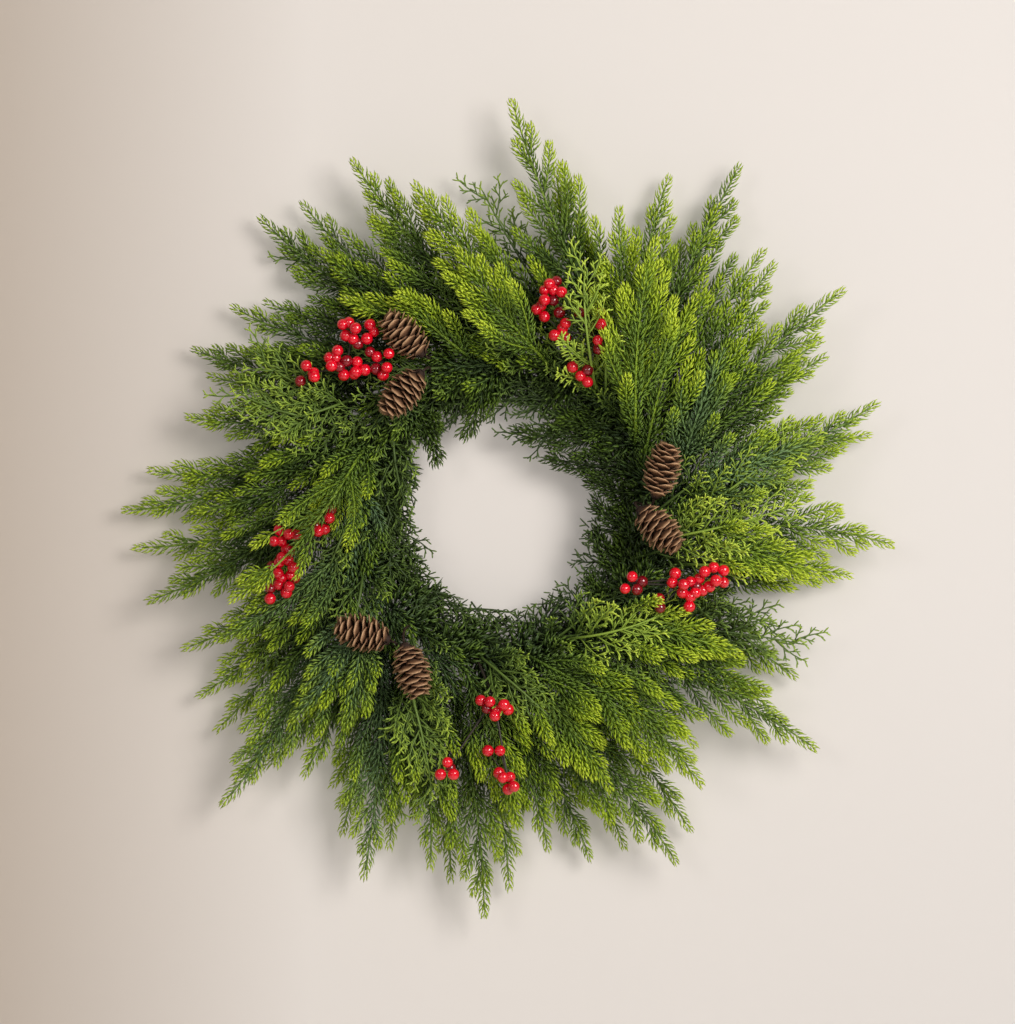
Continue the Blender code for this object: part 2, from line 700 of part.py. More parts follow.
def build_pick(space, pick, material, collection):
    """A berry pick: wire stem, side stems to each bunch, and berries on their own stalks."""
    root = seat_on_rail(pick.root)
    hubs = [place(hub, HUB_DEPTH) for hub in pick.hubs]
    start = min(hubs, key=lambda hub: (hub - root).length)
    stem = bmesh.new()
    points = bezier(root, root + FRONT * PICK_RISE, start - FRONT * HUB_LEAD, start, PICK_POINTS)
    radii = [PICK_RADIUS] * (PICK_POINTS - 1)
    grow(stem, points, radii + [KNOT_RADIUS], CORE_SIDES, seated=True)
    piece = new_object(pick.name, stem, material, collection)
    taken = points[1:]
    fork = points[-2]
    extras = []
    for hub in hubs:
        if hub is start:
            continue
        branch, controls = build_branch(fork, hub, pick.name + "_branch", material, collection)
        extras.append(branch)
        steps = max(2, int((hub - fork).length / SAMPLE_STEP))
        taken += bezier(*controls, steps)
        radii += [PICK_RADIUS] * steps
    for spot in pick.berries:
        flat = place(spot, HUB_DEPTH)
        hub = min(hubs, key=lambda one: (one - flat).length)
        lift = math.sqrt(max(PEDICEL_LENGTH**2 - (hub - flat).length_squared,
                             LEAST_BERRY_LIFT**2))
        centre = flat + FRONT * lift
        extras += build_berry(hub, centre, pick.name + "_berry", material, collection)
        taken += [centre, hub.lerp(centre, 0.4)]
        radii += [BERRY_RADIUS, STALK_RADIUS]
    join(piece, extras)
    space.add(taken, radii)


def build_pine(space, spray, seed, material, collection):
    """A pine spray: a slim main stem with side twigs, and needles out to every tip."""
    rng = random.Random(seed)
    stem, twigs = set_spray(space, spray, PINE_HABIT)
    core = bmesh.new()
    points = bezier(*stem, STEM_POINTS)
    radii = even_shares(STEM_RADIUS, STEM_TIP_RADIUS, STEM_POINTS)
    frames = grow(core, points, radii, CORE_SIDES, rng.uniform(0, 2), seated=True)
    piece = new_object(spray.name, core, material, collection)
    needles = bmesh.new()
    count = round(curve_length(stem) * (1 - BARE_SHARE) / NEEDLE_SPACING)
    shares = even_shares(BARE_SHARE, LAST_NEEDLE, max(FEWEST_NEEDLES, count))
    add_spikes(needles, points, frames, off_crotches(shares, PINE_HABIT), NEEDLE_LEAN,
               NEEDLE_LENGTH, NEEDLE_RADIUS)
    extras = [new_object("needles", needles, material, collection)]
    for twig in twigs:
        core = bmesh.new()
        points = bezier(*twig, TWIG_POINTS)
        radii = even_shares(TWIG_ROOT_RADIUS, TWIG_TIP_RADIUS, TWIG_POINTS)
        frames = grow(core, points, radii, CORE_SIDES, rng.uniform(0, 2))
        extras.append(new_object("twig", core, material, collection))
        needles = bmesh.new()
        count = round(curve_length(twig) / NEEDLE_SPACING)
        shares = even_shares(FIRST_NEEDLE, LAST_NEEDLE, max(FEWEST_NEEDLES, count))
        add_spikes(needles, points, frames, shares, NEEDLE_LEAN, NEEDLE_LENGTH, NEEDLE_RADIUS)
        extras.append(new_object("needles", needles, material, collection))
    join(piece, extras)


def build_cedar(space, spray, seed, material, collection):
    """A cedar spray: a flat fan of forked branchlets, each with short leaflets."""
    rng = random.Random(seed)
    stem, twigs = set_spray(space, spray, CEDAR_HABIT)
    core = bmesh.new()
    points = bezier(*stem, STEM_POINTS)
    radii = even_shares(CEDAR_STEM_RADIUS, CEDAR_TIP_RADIUS, STEM_POINTS)
    frames = grow(core, points, radii, CORE_SIDES, rng.uniform(0, 2), seated=True)
    piece = new_object(spray.name, core, material, collection)
    leaflets = bmesh.new()
    shares = even_shares(FIRST_CROWN_LEAFLET, LAST_NEEDLE, LEAFLET_COUNT)
    add_spikes(leaflets, points, frames, shares, LEAFLET_LEAN, LEAFLET_LENGTH, LEAFLET_RADIUS,
               flat=True)
    extras = [new_object("leaflets", leaflets, material, collection)]
    for twig in twigs:
        core = bmesh.new()
        points = bezier(*twig, TWIG_POINTS)
        radii = even_shares(BRANCHLET_ROOT_RADIUS, BRANCHLET_TIP_RADIUS, TWIG_POINTS)
        frames = grow(core, points, radii, CORE_SIDES, rng.uniform(0, 2))
        extras.append(new_object("branchlet", core, material, collection))
        leaflets = bmesh.new()
        shares = even_shares(FIRST_NEEDLE, LAST_NEEDLE, LEAFLET_COUNT)
        add_spikes(leaflets, points, frames, shares, LEAFLET_LEAN, LEAFLET_LENGTH,
                   LEAFLET_RADIUS, flat=True)
        extras.append(new_object("leaflets", leaflets, material, collection))
    join(piece, extras)


def build_wreath():
    """The frame first, then cones and picks, then sprays, each clear of those before it."""
    for old in list(bpy.data.objects):
        bpy.data.objects.remove(old)
    collection = bpy.data.collections.new("wreath")
    bpy.context.scene.collection.children.link(collection)
    space = Space()
    build_frame(collection)
    for radius in (INNER_RAIL_RADIUS, OUTER_RAIL_RADIUS):
        turns = [2 * PI * step / RAIL_SAMPLES for step in range(RAIL_SAMPLES)]
        centres = [(radius * math.cos(turn), -RAIL_FLAT, radius * math.sin(turn))
                   for turn in turns]
        space.add(centres, [RAIL_WIRE_RADIUS] * RAIL_SAMPLES)
    cone_material = make_material("cone_wood", CONE_BROWN, 0.75)
    berry_material = make_material("berry_red", BERRY_RED, 0.2)
    pine_material = make_material("pine_green", PINE_GREEN, 0.6)
    cedar_material = make_material("cedar_green", CEDAR_GREEN, 0.6)
    for cone in CONES:
        build_cone(space, cone, cone_material, collection)
    for pick in PICKS:
        build_pick(space, pick, berry_material, collection)
    for number, spray in enumerate(PINE_SPRAYS):
        build_pine(space, spray, number, pine_material, collection)
    for number, spray in enumerate(CEDAR_SPRAYS):
        build_cedar(space, spray, CEDAR_SEED + number, cedar_material, collection)


build_wreath()
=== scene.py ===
"""Evergreen wreath, dressed: needles, cedar leaves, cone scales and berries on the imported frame.

The wreath hangs on a wall at y = 0 and faces -Y. Places in its front view are read in steps
of 0.8 mm, x to the right and y down, as in the layout lists below. Each spray follows the
stem and side twigs of the solid that it stands for, and more sprays fill the ring between.
"""

import logging
import math
import random
from dataclasses import dataclass, field
from enum import Enum

import bmesh
import bpy
import numpy as np
from mathutils import Matrix, Vector


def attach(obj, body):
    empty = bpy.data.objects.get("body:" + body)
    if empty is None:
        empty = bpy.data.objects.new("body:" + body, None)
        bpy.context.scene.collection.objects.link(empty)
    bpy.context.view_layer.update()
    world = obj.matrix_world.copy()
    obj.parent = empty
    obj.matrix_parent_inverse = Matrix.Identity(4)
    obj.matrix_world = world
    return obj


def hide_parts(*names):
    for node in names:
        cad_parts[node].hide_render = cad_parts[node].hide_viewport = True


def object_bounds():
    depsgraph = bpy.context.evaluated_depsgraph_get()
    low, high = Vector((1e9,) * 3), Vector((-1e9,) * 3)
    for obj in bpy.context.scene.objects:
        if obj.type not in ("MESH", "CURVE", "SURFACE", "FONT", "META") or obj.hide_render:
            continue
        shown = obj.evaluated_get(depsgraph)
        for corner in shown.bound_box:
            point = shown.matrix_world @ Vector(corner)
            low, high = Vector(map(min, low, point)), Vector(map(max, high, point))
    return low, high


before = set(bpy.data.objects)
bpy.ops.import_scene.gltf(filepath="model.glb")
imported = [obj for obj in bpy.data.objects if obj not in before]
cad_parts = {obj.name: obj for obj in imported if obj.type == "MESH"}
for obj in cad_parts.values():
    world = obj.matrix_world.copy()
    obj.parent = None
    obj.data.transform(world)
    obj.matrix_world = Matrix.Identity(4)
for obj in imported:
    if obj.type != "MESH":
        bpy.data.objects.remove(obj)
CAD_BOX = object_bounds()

log = logging.getLogger("wreath")

MM = 0.001
PI = math.pi
FRONT = Vector((0, -1, 0))
GOLDEN_TURN = PI * (3 - math.sqrt(5))

GRID = 0.8 * MM
CENTRE = (500, 507)
OUTER_RAIL = 146 * MM
INNER_RAIL = 118 * MM
RAIL_WIRE = 2.2 * MM
LOOP_RADIUS = 9 * MM
LOOP_WIRE = 1.5 * MM
RAIL_SEGMENTS = 24
RAIL_FLAT = RAIL_WIRE * math.cos(PI / 6)
HOOK_RISE = OUTER_RAIL + 2 * LOOP_RADIUS - LOOP_WIRE
RING_CENTRE = Vector((0, 0, -HOOK_RISE))


class Layer(Enum):
    """Depth in front of the wall at a spray's middle and at its tip, in millimetres."""

    LOWEST = (16, 12)
    BACK = (20, 16)
    MIDDLE = (40, 33)
    FRONT = (62, 56)
    HOLE = (26, 30)
    EDGE = (24, 27)


@dataclass(frozen=True)
class Spray:
    """One spray of the layout.

    Attributes:
        name: The solid that the spray stands for, or its own name where it has none.
        root: Place on the ring where it starts, in the front view.
        tip: Place of its tip, in the front view.
        layer: How far in front of the wall it lies.
        bow: Sideways bow of its stem, as a share of its length.
        fresh: How bright its new growth is, from 0 to 1.
        blue: How bluish its older needles are, from 0 to 1.
        over: Whether it may lie over berries and reach into the opening.
    """

    name: str
    root: tuple[float, float]
    tip: tuple[float, float]
    layer: Layer
    bow: float
    fresh: float = 0.5
    blue: float = 0.1
    over: bool = False


@dataclass(frozen=True)
class Habit:
    """How a kind of spray branches.

    Attributes:
        shares: Where its first side twigs leave the stem, as shares of its length.
        angle: Angle between a twig and its stem.
        length_share: A twig's length, as a share of the stem that is left past it.
        reach: Half the width of a twig with its needles.
        bare: Share of the stem without needles.
    """

    shares: tuple[float, ...]
    angle: float
    length_share: float
    reach: float
    bare: float


PINE_HABIT = Habit((0.5, 0.72), math.radians(36), 0.58, 6.4 * MM, 0.42)
CEDAR_HABIT = Habit((0.42, 0.7), math.radians(40), 0.5, 4.5 * MM, 0.3)

PINE_SPRAYS = [
    Spray("pine_top", (624, 380), (511, 97), Layer.MIDDLE, 0.03, 0.75),
    Spray("pine_top_right_a", (648, 410), (619, 208), Layer.FRONT, 0.05, 0.7),
    Spray("pine_top_right_b", (640, 392), (671, 173), Layer.BACK, 0.06, 0.6),
    Spray("pine_top_right_c", (662, 432), (742, 162), Layer.BACK, 0.06, 0.4),
    Spray("pine_fan_a", (640, 450), (655, 240), Layer.FRONT, 0.05, 0.95),
    Spray("pine_upper_right_a", (668, 460), (776, 262), Layer.MIDDLE, 0.05, 0.5),
    Spray("pine_upper_right_b", (660, 485), (845, 289), Layer.BACK, 0.04, 0.6),
    Spray("pine_right_a", (680, 500), (879, 402), Layer.MIDDLE, -0.03, 0.6, 0.3),
    Spray("pine_right_c", (682, 530), (896, 546), Layer.MIDDLE, 0.06, 0.75),
    Spray("pine_right_d", (660, 560), (855, 577), Layer.BACK, 0.04, 0.8),
    Spray("pine_lower_right_a", (625, 600), (799, 679), Layer.BACK, 0.05, 0.45),
    Spray("pine_lower_right_b", (590, 642), (818, 751), Layer.MIDDLE, 0.04, 0.6),
    Spray("pine_lower_right_c", (572, 655), (702, 786), Layer.FRONT, 0.03, 0.7),
    Spray("pine_bottom_right_b", (530, 672), (678, 865), Layer.MIDDLE, 0.03, 0.5),
    Spray("pine_bottom_right_c", (508, 660), (611, 791), Layer.FRONT, 0.04, 0.75),
    Spray("pine_bottom_a", (505, 680), (591, 863), Layer.BACK, 0.03, 0.4),
    Spray("pine_bottom_b", (450, 655), (515, 828), Layer.FRONT, 0.06, 0.6),
    Spray("pine_bottom_c", (455, 678), (484, 920), Layer.MIDDLE, 0.03, 0.5),
    Spray("pine_bottom_left_a", (385, 640), (363, 880), Layer.MIDDLE, 0.03, 0.5, 0.4),
    Spray("pine_lower_left_b", (350, 588), (220, 806), Layer.MIDDLE, 0.06, 0.55, 0.4),
    Spray("pine_left_a", (345, 555), (195, 698), Layer.BACK, 0.05, 0.5),
    Spray("pine_left_b", (348, 475), (145, 602), Layer.MIDDLE, 0.05, 0.5),
    Spray("pine_left_c", (372, 440), (232, 600), Layer.FRONT, 0.08, 0.8),
    Spray("pine_left_d", (340, 450), (118, 510), Layer.BACK, 0.07, 0.6),
    Spray("pine_upper_left_a", (356, 405), (185, 416), Layer.MIDDLE, 0.08, 0.55),
    Spray("pine_upper_left_b", (380, 372), (190, 347), Layer.BACK, 0.08, 0.3),
    Spray("pine_upper_left_c", (440, 350), (258, 215), Layer.BACK, 0.05, 0.3),
    Spray("pine_top_left_a", (500, 340), (351, 158), Layer.MIDDLE, 0.04, 0.6),
    Spray("pine_top_left_b", (540, 335), (413, 183), Layer.FRONT, 0.03, 0.85),
    Spray("pine_top_left_c", (556, 368), (456, 248), Layer.FRONT, 0.04, 0.9),
]

CEDAR_SPRAYS = [
    Spray("cedar_hole_left", (372, 425), (414, 556), Layer.HOLE, -0.10, 0.25, 0.0, True),
    Spray("cedar_hole_bottom", (378, 590), (476, 603), Layer.HOLE, 0.06, 0.2),
    Spray("cedar_hole_top", (604, 418), (504, 400), Layer.HOLE, -0.05, 0.2, 0.0, True),
    Spray("cedar_hole_right", (627, 580), (566, 539), Layer.HOLE, 0.03, 0.15),
    Spray("cedar_upper_left", (352, 430), (238, 392), Layer.FRONT, 0.06, 0.5),
    Spray("cedar_top_left", (575, 345), (483, 190), Layer.BACK, 0.02, 0.4),
    Spray("cedar_top_front", (598, 395), (584, 270), Layer.FRONT, 0.04, 0.85),
    Spray("cedar_right", (655, 545), (792, 505), Layer.FRONT, -0.03, 0.9),
    Spray("cedar_lower_right", (560, 640), (664, 612), Layer.FRONT, -0.05, 0.9),
    Spray("cedar_right_low", (640, 625), (800, 644), Layer.MIDDLE, 0.02, 0.3),
    Spray("cedar_bottom", (400, 662), (432, 792), Layer.FRONT, 0.03, 0.5),
]

MORE_PINES = [
    Spray("more_pine_right_a", (664, 508), (874, 434), Layer.BACK, 0.04, 0.7),
    Spray("more_pine_bottom_right", (566, 665), (692, 834), Layer.BACK, 0.03, 0.5),
    Spray("more_pine_bottom_left", (370, 612), (345, 730), Layer.FRONT, 0.05, 0.45, 0.5),
    Spray("more_pine_fan_a", (655, 465), (697, 295), Layer.FRONT, 0.05, 0.9),
    Spray("more_pine_fan_b", (628, 440), (610, 290), Layer.MIDDLE, 0.05, 0.85),
    Spray("more_pine_fan_c", (668, 480), (730, 340), Layer.FRONT, 0.04, 0.4, 0.5),
    Spray("more_pine_top_a", (600, 372), (556, 165), Layer.BACK, 0.04, 0.7),
    Spray("more_pine_top_b", (565, 350), (470, 225), Layer.MIDDLE, 0.04, 0.7),
    Spray("more_pine_top_c", (520, 345), (400, 215), Layer.BACK, 0.05, 0.5),
    Spray("more_pine_top_d", (540, 362), (456, 340), Layer.MIDDLE, -0.05, 0.6),
    Spray("more_pine_top_left_a", (455, 345), (320, 248), Layer.MIDDLE, 0.05, 0.6),
    Spray("more_pine_top_left_b", (470, 342), (340, 298), Layer.FRONT, 0.05, 0.85),
    Spray("more_pine_top_left_c", (475, 352), (400, 290), Layer.FRONT, 0.05, 0.8),
    Spray("more_pine_left_a", (360, 420), (225, 470), Layer.MIDDLE, 0.08, 0.5),
    Spray("more_pine_left_b", (375, 435), (298, 545), Layer.FRONT, 0.06, 0.65),
    Spray("more_pine_left_c", (350, 500), (190, 580), Layer.BACK, 0.06, 0.5),
    Spray("more_pine_left_d", (350, 540), (215, 640), Layer.FRONT, 0.06, 0.5, 0.3),
    Spray("more_pine_left_e", (362, 470), (340, 600), Layer.MIDDLE, 0.05, 0.2, 0.7),
    Spray("more_pine_low_left_a", (365, 600), (262, 770), Layer.BACK, 0.05, 0.4),
    Spray("more_pine_low_left_b", (375, 600), (290, 722), Layer.FRONT, 0.04, 0.5, 0.7),
    Spray("more_pine_low_left_c", (390, 620), (330, 790), Layer.BACK, 0.04, 0.5),
    Spray("more_pine_bottom_a", (425, 655), (412, 822), Layer.BACK, 0.03, 0.4),
    Spray("more_pine_bottom_b", (430, 660), (450, 885), Layer.BACK, 0.03, 0.4),
    Spray("more_pine_bottom_c", (480, 670), (560, 800), Layer.MIDDLE, 0.04, 0.5),
    Spray("more_pine_bottom_d", (540, 665), (640, 758), Layer.MIDDLE, 0.03, 0.75),
    Spray("more_pine_bottom_e", (520, 650), (660, 735), Layer.FRONT, 0.03, 0.6),
    Spray("more_pine_low_right_a", (600, 630), (742, 655), Layer.FRONT, 0.04, 0.85),
    Spray("more_pine_low_right_b", (610, 625), (757, 697), Layer.MIDDLE, 0.03, 0.8),
    Spray("more_pine_right_b", (675, 540), (818, 576), Layer.FRONT, 0.05, 0.9),
    Spray("more_pine_right_c", (690, 500), (822, 440), Layer.FRONT, 0.04, 0.5, 0.6),
    Spray("more_pine_right_d", (670, 470), (828, 355), Layer.MIDDLE, 0.03, 0.5),
    Spray("more_pine_hole_a", (492, 345), (462, 441), Layer.HOLE, 0.04, 0.25, 0.0, True),
    Spray("more_pine_hole_b", (398, 385), (440, 466), Layer.HOLE, 0.04, 0.1, 0.0, True),
    Spray("more_pine_hole_c", (625, 440), (508, 430), Layer.HOLE, 0.03, 0.1, 0.0, True),
    Spray("more_pine_hole_d", (628, 478), (540, 460), Layer.HOLE, -0.03, 0.05, 0.0, True),
    Spray("more_pine_hole_e", (628, 420), (556, 415), Layer.HOLE, 0.05, 0.05, 0.0, True),
    # Sprays f to i have no bright new growth: real foliage, made dark as painted shade along the
    # opening's right edge
    Spray("more_pine_hole_f", (640, 500), (584, 478), Layer.HOLE, 0.03, 0.0, 0.0, True),
    Spray("more_pine_hole_g", (646, 540), (590, 500), Layer.HOLE, 0.03, 0.0, 0.0, True),
    Spray("more_pine_hole_h", (640, 580), (592, 530), Layer.HOLE, 0.04, 0.0, 0.0, True),
    Spray("more_pine_hole_i", (622, 615), (590, 582), Layer.HOLE, 0.04, 0.0, 0.0, True),
    # The more_pine_dark sprays have no bright new growth: real foliage, made dark as painted shade
    # deep in the ring
    Spray("more_pine_dark_a", (372, 405), (312, 350), Layer.BACK, 0.05, 0.0, 0.0),
    Spray("more_pine_dark_b", (400, 385), (345, 335), Layer.BACK, 0.05, 0.0, 0.0),
    Spray("more_pine_dark_c", (360, 430), (290, 385), Layer.BACK, 0.05, 0.0, 0.0),
    Spray("more_pine_dark_d", (432, 350), (358, 300), Layer.BACK, 0.05, 0.05, 0.0),
    Spray("more_pine_dark_e", (428, 388), (368, 338), Layer.BACK, 0.02, 0.0, 0.0),
    Spray("more_pine_dark_f", (470, 668), (488, 730), Layer.BACK, 0.02, 0.0, 0.0),
    Spray("more_pine_top_left_d", (430, 352), (262, 300), Layer.BACK, 0.04, 0.3),
    Spray("outer_pine_left_a", (345, 500), (130, 548), Layer.BACK, 0.05, 0.6),
    Spray("outer_pine_left_b", (345, 545), (181, 649), Layer.MIDDLE, 0.06, 0.6),
    Spray("outer_pine_left_c", (350, 455), (144, 469), Layer.BACK, 0.06, 0.6),
    Spray("outer_pine_left_d", (356, 430), (191, 511), Layer.MIDDLE, 0.08, 0.6),
    Spray("outer_pine_left_e", (345, 565), (213, 733), Layer.BACK, 0.05, 0.6),
    Spray("outer_pine_low_left_a", (356, 590), (240, 776), Layer.MIDDLE, 0.04, 0.5),
    Spray("outer_pine_low_left_b", (374, 615), (302, 778), Layer.MIDDLE, 0.04, 0.5),
    Spray("outer_pine_low_left_c", (385, 630), (340, 838), Layer.BACK, 0.03, 0.5),
    Spray("outer_pine_bottom_a", (398, 642), (388, 852), Layer.BACK, 0.03, 0.5),
    Spray("outer_pine_bottom_b", (415, 655), (430, 870), Layer.MIDDLE, 0.04, 0.5),
    Spray("outer_pine_bottom_c", (470, 672), (509, 893), Layer.BACK, 0.04, 0.5),
    Spray("outer_pine_bottom_d", (495, 672), (548, 852), Layer.MIDDLE, 0.04, 0.5),
    Spray("outer_pine_bottom_e", (538, 668), (626, 852), Layer.BACK, 0.03, 0.5),
    Spray("outer_pine_low_right_a", (575, 650), (697, 748), Layer.MIDDLE, 0.04, 0.7),
    Spray("outer_pine_low_right_b", (615, 620), (779, 715), Layer.BACK, 0.03, 0.6),
    Spray("outer_pine_right_a", (676, 470), (825, 338), Layer.BACK, 0.04, 0.6),
    Spray("outer_pine_right_b", (664, 440), (766, 248), Layer.MIDDLE, 0.05, 0.6),
    Spray("outer_pine_top_a", (648, 405), (720, 204), Layer.MIDDLE, 0.05, 0.6),
    Spray("outer_pine_top_b", (600, 372), (564, 158), Layer.BACK, 0.05, 0.7),
    Spray("outer_pine_top_left_a", (515, 345), (366, 204), Layer.BACK, 0.04, 0.6),
    Spray("outer_pine_top_left_b", (455, 345), (300, 200), Layer.BACK, 0.05, 0.4),
    Spray("outer_pine_top_left_c", (405, 368), (229, 304), Layer.BACK, 0.06, 0.4),
    Spray("outer_pine_top_left_d", (380, 382), (238, 348), Layer.MIDDLE, 0.05, 0.4),
    Spray("outer_pine_top_left_e", (372, 398), (205, 374), Layer.BACK, 0.05, 0.4),
]

MORE_CEDARS = [
    Spray("more_cedar_hole_a", (368, 470), (416, 588), Layer.HOLE, -0.08, 0.3, 0.0, True),
    Spray("more_cedar_hole_b", (385, 400), (408, 510), Layer.MIDDLE, -0.06, 0.4),
    Spray("more_cedar_hole_c", (395, 625), (508, 612), Layer.HOLE, 0.05, 0.25),
    Spray("more_cedar_hole_d", (560, 650), (512, 614), Layer.HOLE, 0.04, 0.2),
    Spray("more_cedar_hole_e", (600, 610), (540, 590), Layer.HOLE, 0.04, 0.2),
    Spray("more_cedar_hole_f", (632, 540), (570, 524), Layer.HOLE, -0.03, 0.15),
    Spray("more_cedar_hole_g", (610, 400), (528, 440), Layer.HOLE, 0.05, 0.15, 0.0, True),
    Spray("more_cedar_hole_h", (520, 362), (440, 390), Layer.HOLE, 0.05, 0.25),
    Spray("more_cedar_left_a", (362, 415), (262, 360), Layer.FRONT, 0.05, 0.5),
    Spray("more_cedar_left_b", (366, 405), (280, 420), Layer.FRONT, 0.05, 0.45),
    Spray("more_cedar_left_c", (358, 560), (268, 655), Layer.MIDDLE, 0.05, 0.3),
    Spray("more_cedar_top_a", (585, 380), (548, 262), Layer.MIDDLE, 0.04, 0.7),
    Spray("more_cedar_top_b", (612, 400), (612, 300), Layer.FRONT, 0.04, 0.75),
    Spray("more_cedar_top_c", (470, 345), (388, 232), Layer.MIDDLE, 0.04, 0.4),
    Spray("more_cedar_right_a", (665, 520), (790, 440), Layer.FRONT, -0.03, 0.75),
    Spray("more_cedar_right_b", (660, 560), (770, 560), Layer.FRONT, -0.03, 0.8),
    Spray("more_cedar_right_c", (640, 600), (770, 622), Layer.MIDDLE, 0.02, 0.3),
    Spray("more_cedar_low_right_a", (575, 650), (640, 690), Layer.MIDDLE, -0.03, 0.4),
    Spray("more_cedar_low_right_b", (545, 645), (600, 600), Layer.MIDDLE, -0.03, 0.6),
    Spray("more_cedar_bottom_a", (430, 665), (395, 800), Layer.MIDDLE, 0.03, 0.45),
    Spray("more_cedar_bottom_b", (470, 665), (560, 728), Layer.FRONT, 0.03, 0.4),
    Spray("more_cedar_wisp", (480, 345), (290, 252), Layer.LOWEST, 0.04, 0.3),
]


@dataclass(frozen=True)
class ConePlace:
    """One cone: its solid's name, and its base and tip in the front view."""

    name: str
    base: tuple[float, float]
    tip: tuple[float, float]


CONES = [
    ConePlace("cone_upper_left_a", (427, 358), (384, 316)),
    ConePlace("cone_upper_left_b", (424, 371), (381, 419)),
    ConePlace("cone_lower_left_a", (393, 640), (338, 625)),
    ConePlace("cone_lower_left_b", (404, 640), (421, 697)),
    ConePlace("cone_right_a", (653, 500), (667, 447)),
    ConePlace("cone_right_b", (636, 507), (672, 543)),
]


@dataclass(frozen=True)
class PickPlace:
    """One berry pick: its solid's name, its root, its hubs and its berries in the front view.

    Attributes:
        name: The solid's name.
        root: Place on the ring where it starts.
        hubs: Where its side stems end and the berries' stalks start.
        berries: Berries of the solid, in front.
        more: More bright berries, lower in the bunch.
        deep: Dark berries, lower in the bunch.
    """

    name: str
    root: tuple[float, float]
    hubs: tuple[tuple[float, float], ...]
    berries: tuple[tuple[float, float], ...]
    more: tuple[tuple[float, float], ...]
    deep: tuple[tuple[float, float], ...]


PICKS = [
    PickPlace("berry_pick_upper_left", (370, 395),
              ((355, 332), (343, 363), (385, 362), (312, 374)),
              ((344, 326), (357, 330), (368, 340), (339, 352), (333, 367), (357, 373),
               (390, 355), (388, 369), (308, 367), (316, 378)),
              ((347, 337), (375, 333), (345, 376), (358, 363), (354, 340), (331, 359),
               (350, 324), (337, 359), (355, 375), (366, 371), (378, 358), (315, 374),
               (371, 326), (384, 376)),
              ((359, 345), (341, 368), (348, 362), (371, 353), (377, 370), (302, 382))),
    PickPlace("berry_pick_top", (583, 352), ((551, 297), (560, 332), (598, 335)),
              ((549, 286), (561, 294), (544, 302), (565, 325), (554, 337), (600, 326),
               (597, 342)),
              ((541, 307), (536, 311), (544, 318), (544, 292), (572, 368), (580, 377),
               (587, 383), (553, 292), (562, 330)),
              ((556, 283), (553, 302), (559, 314), (565, 339), (579, 314), (600, 314),
               (587, 371), (598, 350))),
    PickPlace("berry_pick_left", (352, 512), ((284, 536), (327, 525), (287, 562), (281, 590)),
              ((276, 541), (291, 534), (331, 518), (320, 531), (284, 557), (295, 567),
               (280, 573), (291, 586), (272, 598)),
              ((281, 530), (283, 541), (288, 549), (290, 560), (281, 562), (292, 575),
               (280, 584), (288, 592), (297, 535), (326, 529), (283, 578)),
              ((332, 510), (317, 526), (292, 551), (274, 566), (296, 578), (272, 588))),
    PickPlace("berry_pick_right", (630, 595), ((630, 582), (683, 585), (710, 576)),
              ((631, 576), (624, 588), (674, 573), (682, 584), (694, 592), (703, 571),
               (714, 580), (722, 570)),
              ((671, 582), (689, 581), (681, 592), (698, 578), (712, 567), (701, 590),
               (688, 606), (689, 596), (708, 586), (722, 582)),
              ((641, 581), (636, 589), (658, 598), (659, 607), (695, 586))),
    PickPlace("berry_pick_bottom", (470, 668), ((498, 706), (447, 768), (508, 780)),
              ((490, 700), (504, 703), (495, 714), (448, 760), (441, 772), (454, 772),
               (503, 775), (514, 784)),
              ((481, 699), (508, 708), (497, 709), (488, 749), (500, 749), (499, 771),
               (508, 787), (510, 775)),
              ((451, 766), (487, 707))),
]


# Curves and the room that pieces take


def place(spot: tuple[float, float] | Vector, depth: float) -> Vector:
    """Gives a point of the front view its depth.

    Args:
        spot: Place in the front view.
        depth: Distance in front of the wall.

    Returns:
        The point, with the ring's centre at the origin.
    """
    return Vector(((spot[0] - CENTRE[0]) * GRID, -depth, (CENTRE[1] - spot[1]) * GRID))


def seat_on_rail(spot: tuple[float, float] | Vector) -> Vector:
    """Finds the nearest spot on the front of a rail.

    Args:
        spot: Place in the front view.

    Returns:
        The seat, just off the front of the inner or outer rail.
    """
    seat_gap = 0.3 * MM
    flat = place(spot, 0)
    angle = math.atan2(flat.z, flat.x)
    middle = (INNER_RAIL + OUTER_RAIL) / 2
    radius = INNER_RAIL if math.hypot(flat.x, flat.z) < middle else OUTER_RAIL
    segment = 2 * PI / RAIL_SEGMENTS
    along = (angle / segment - math.floor(angle / segment) - 0.5) * segment
    radius *= math.cos(segment / 2) / math.cos(along)
    return Vector((radius * math.cos(angle), -2 * RAIL_FLAT - seat_gap, radius * math.sin(angle)))


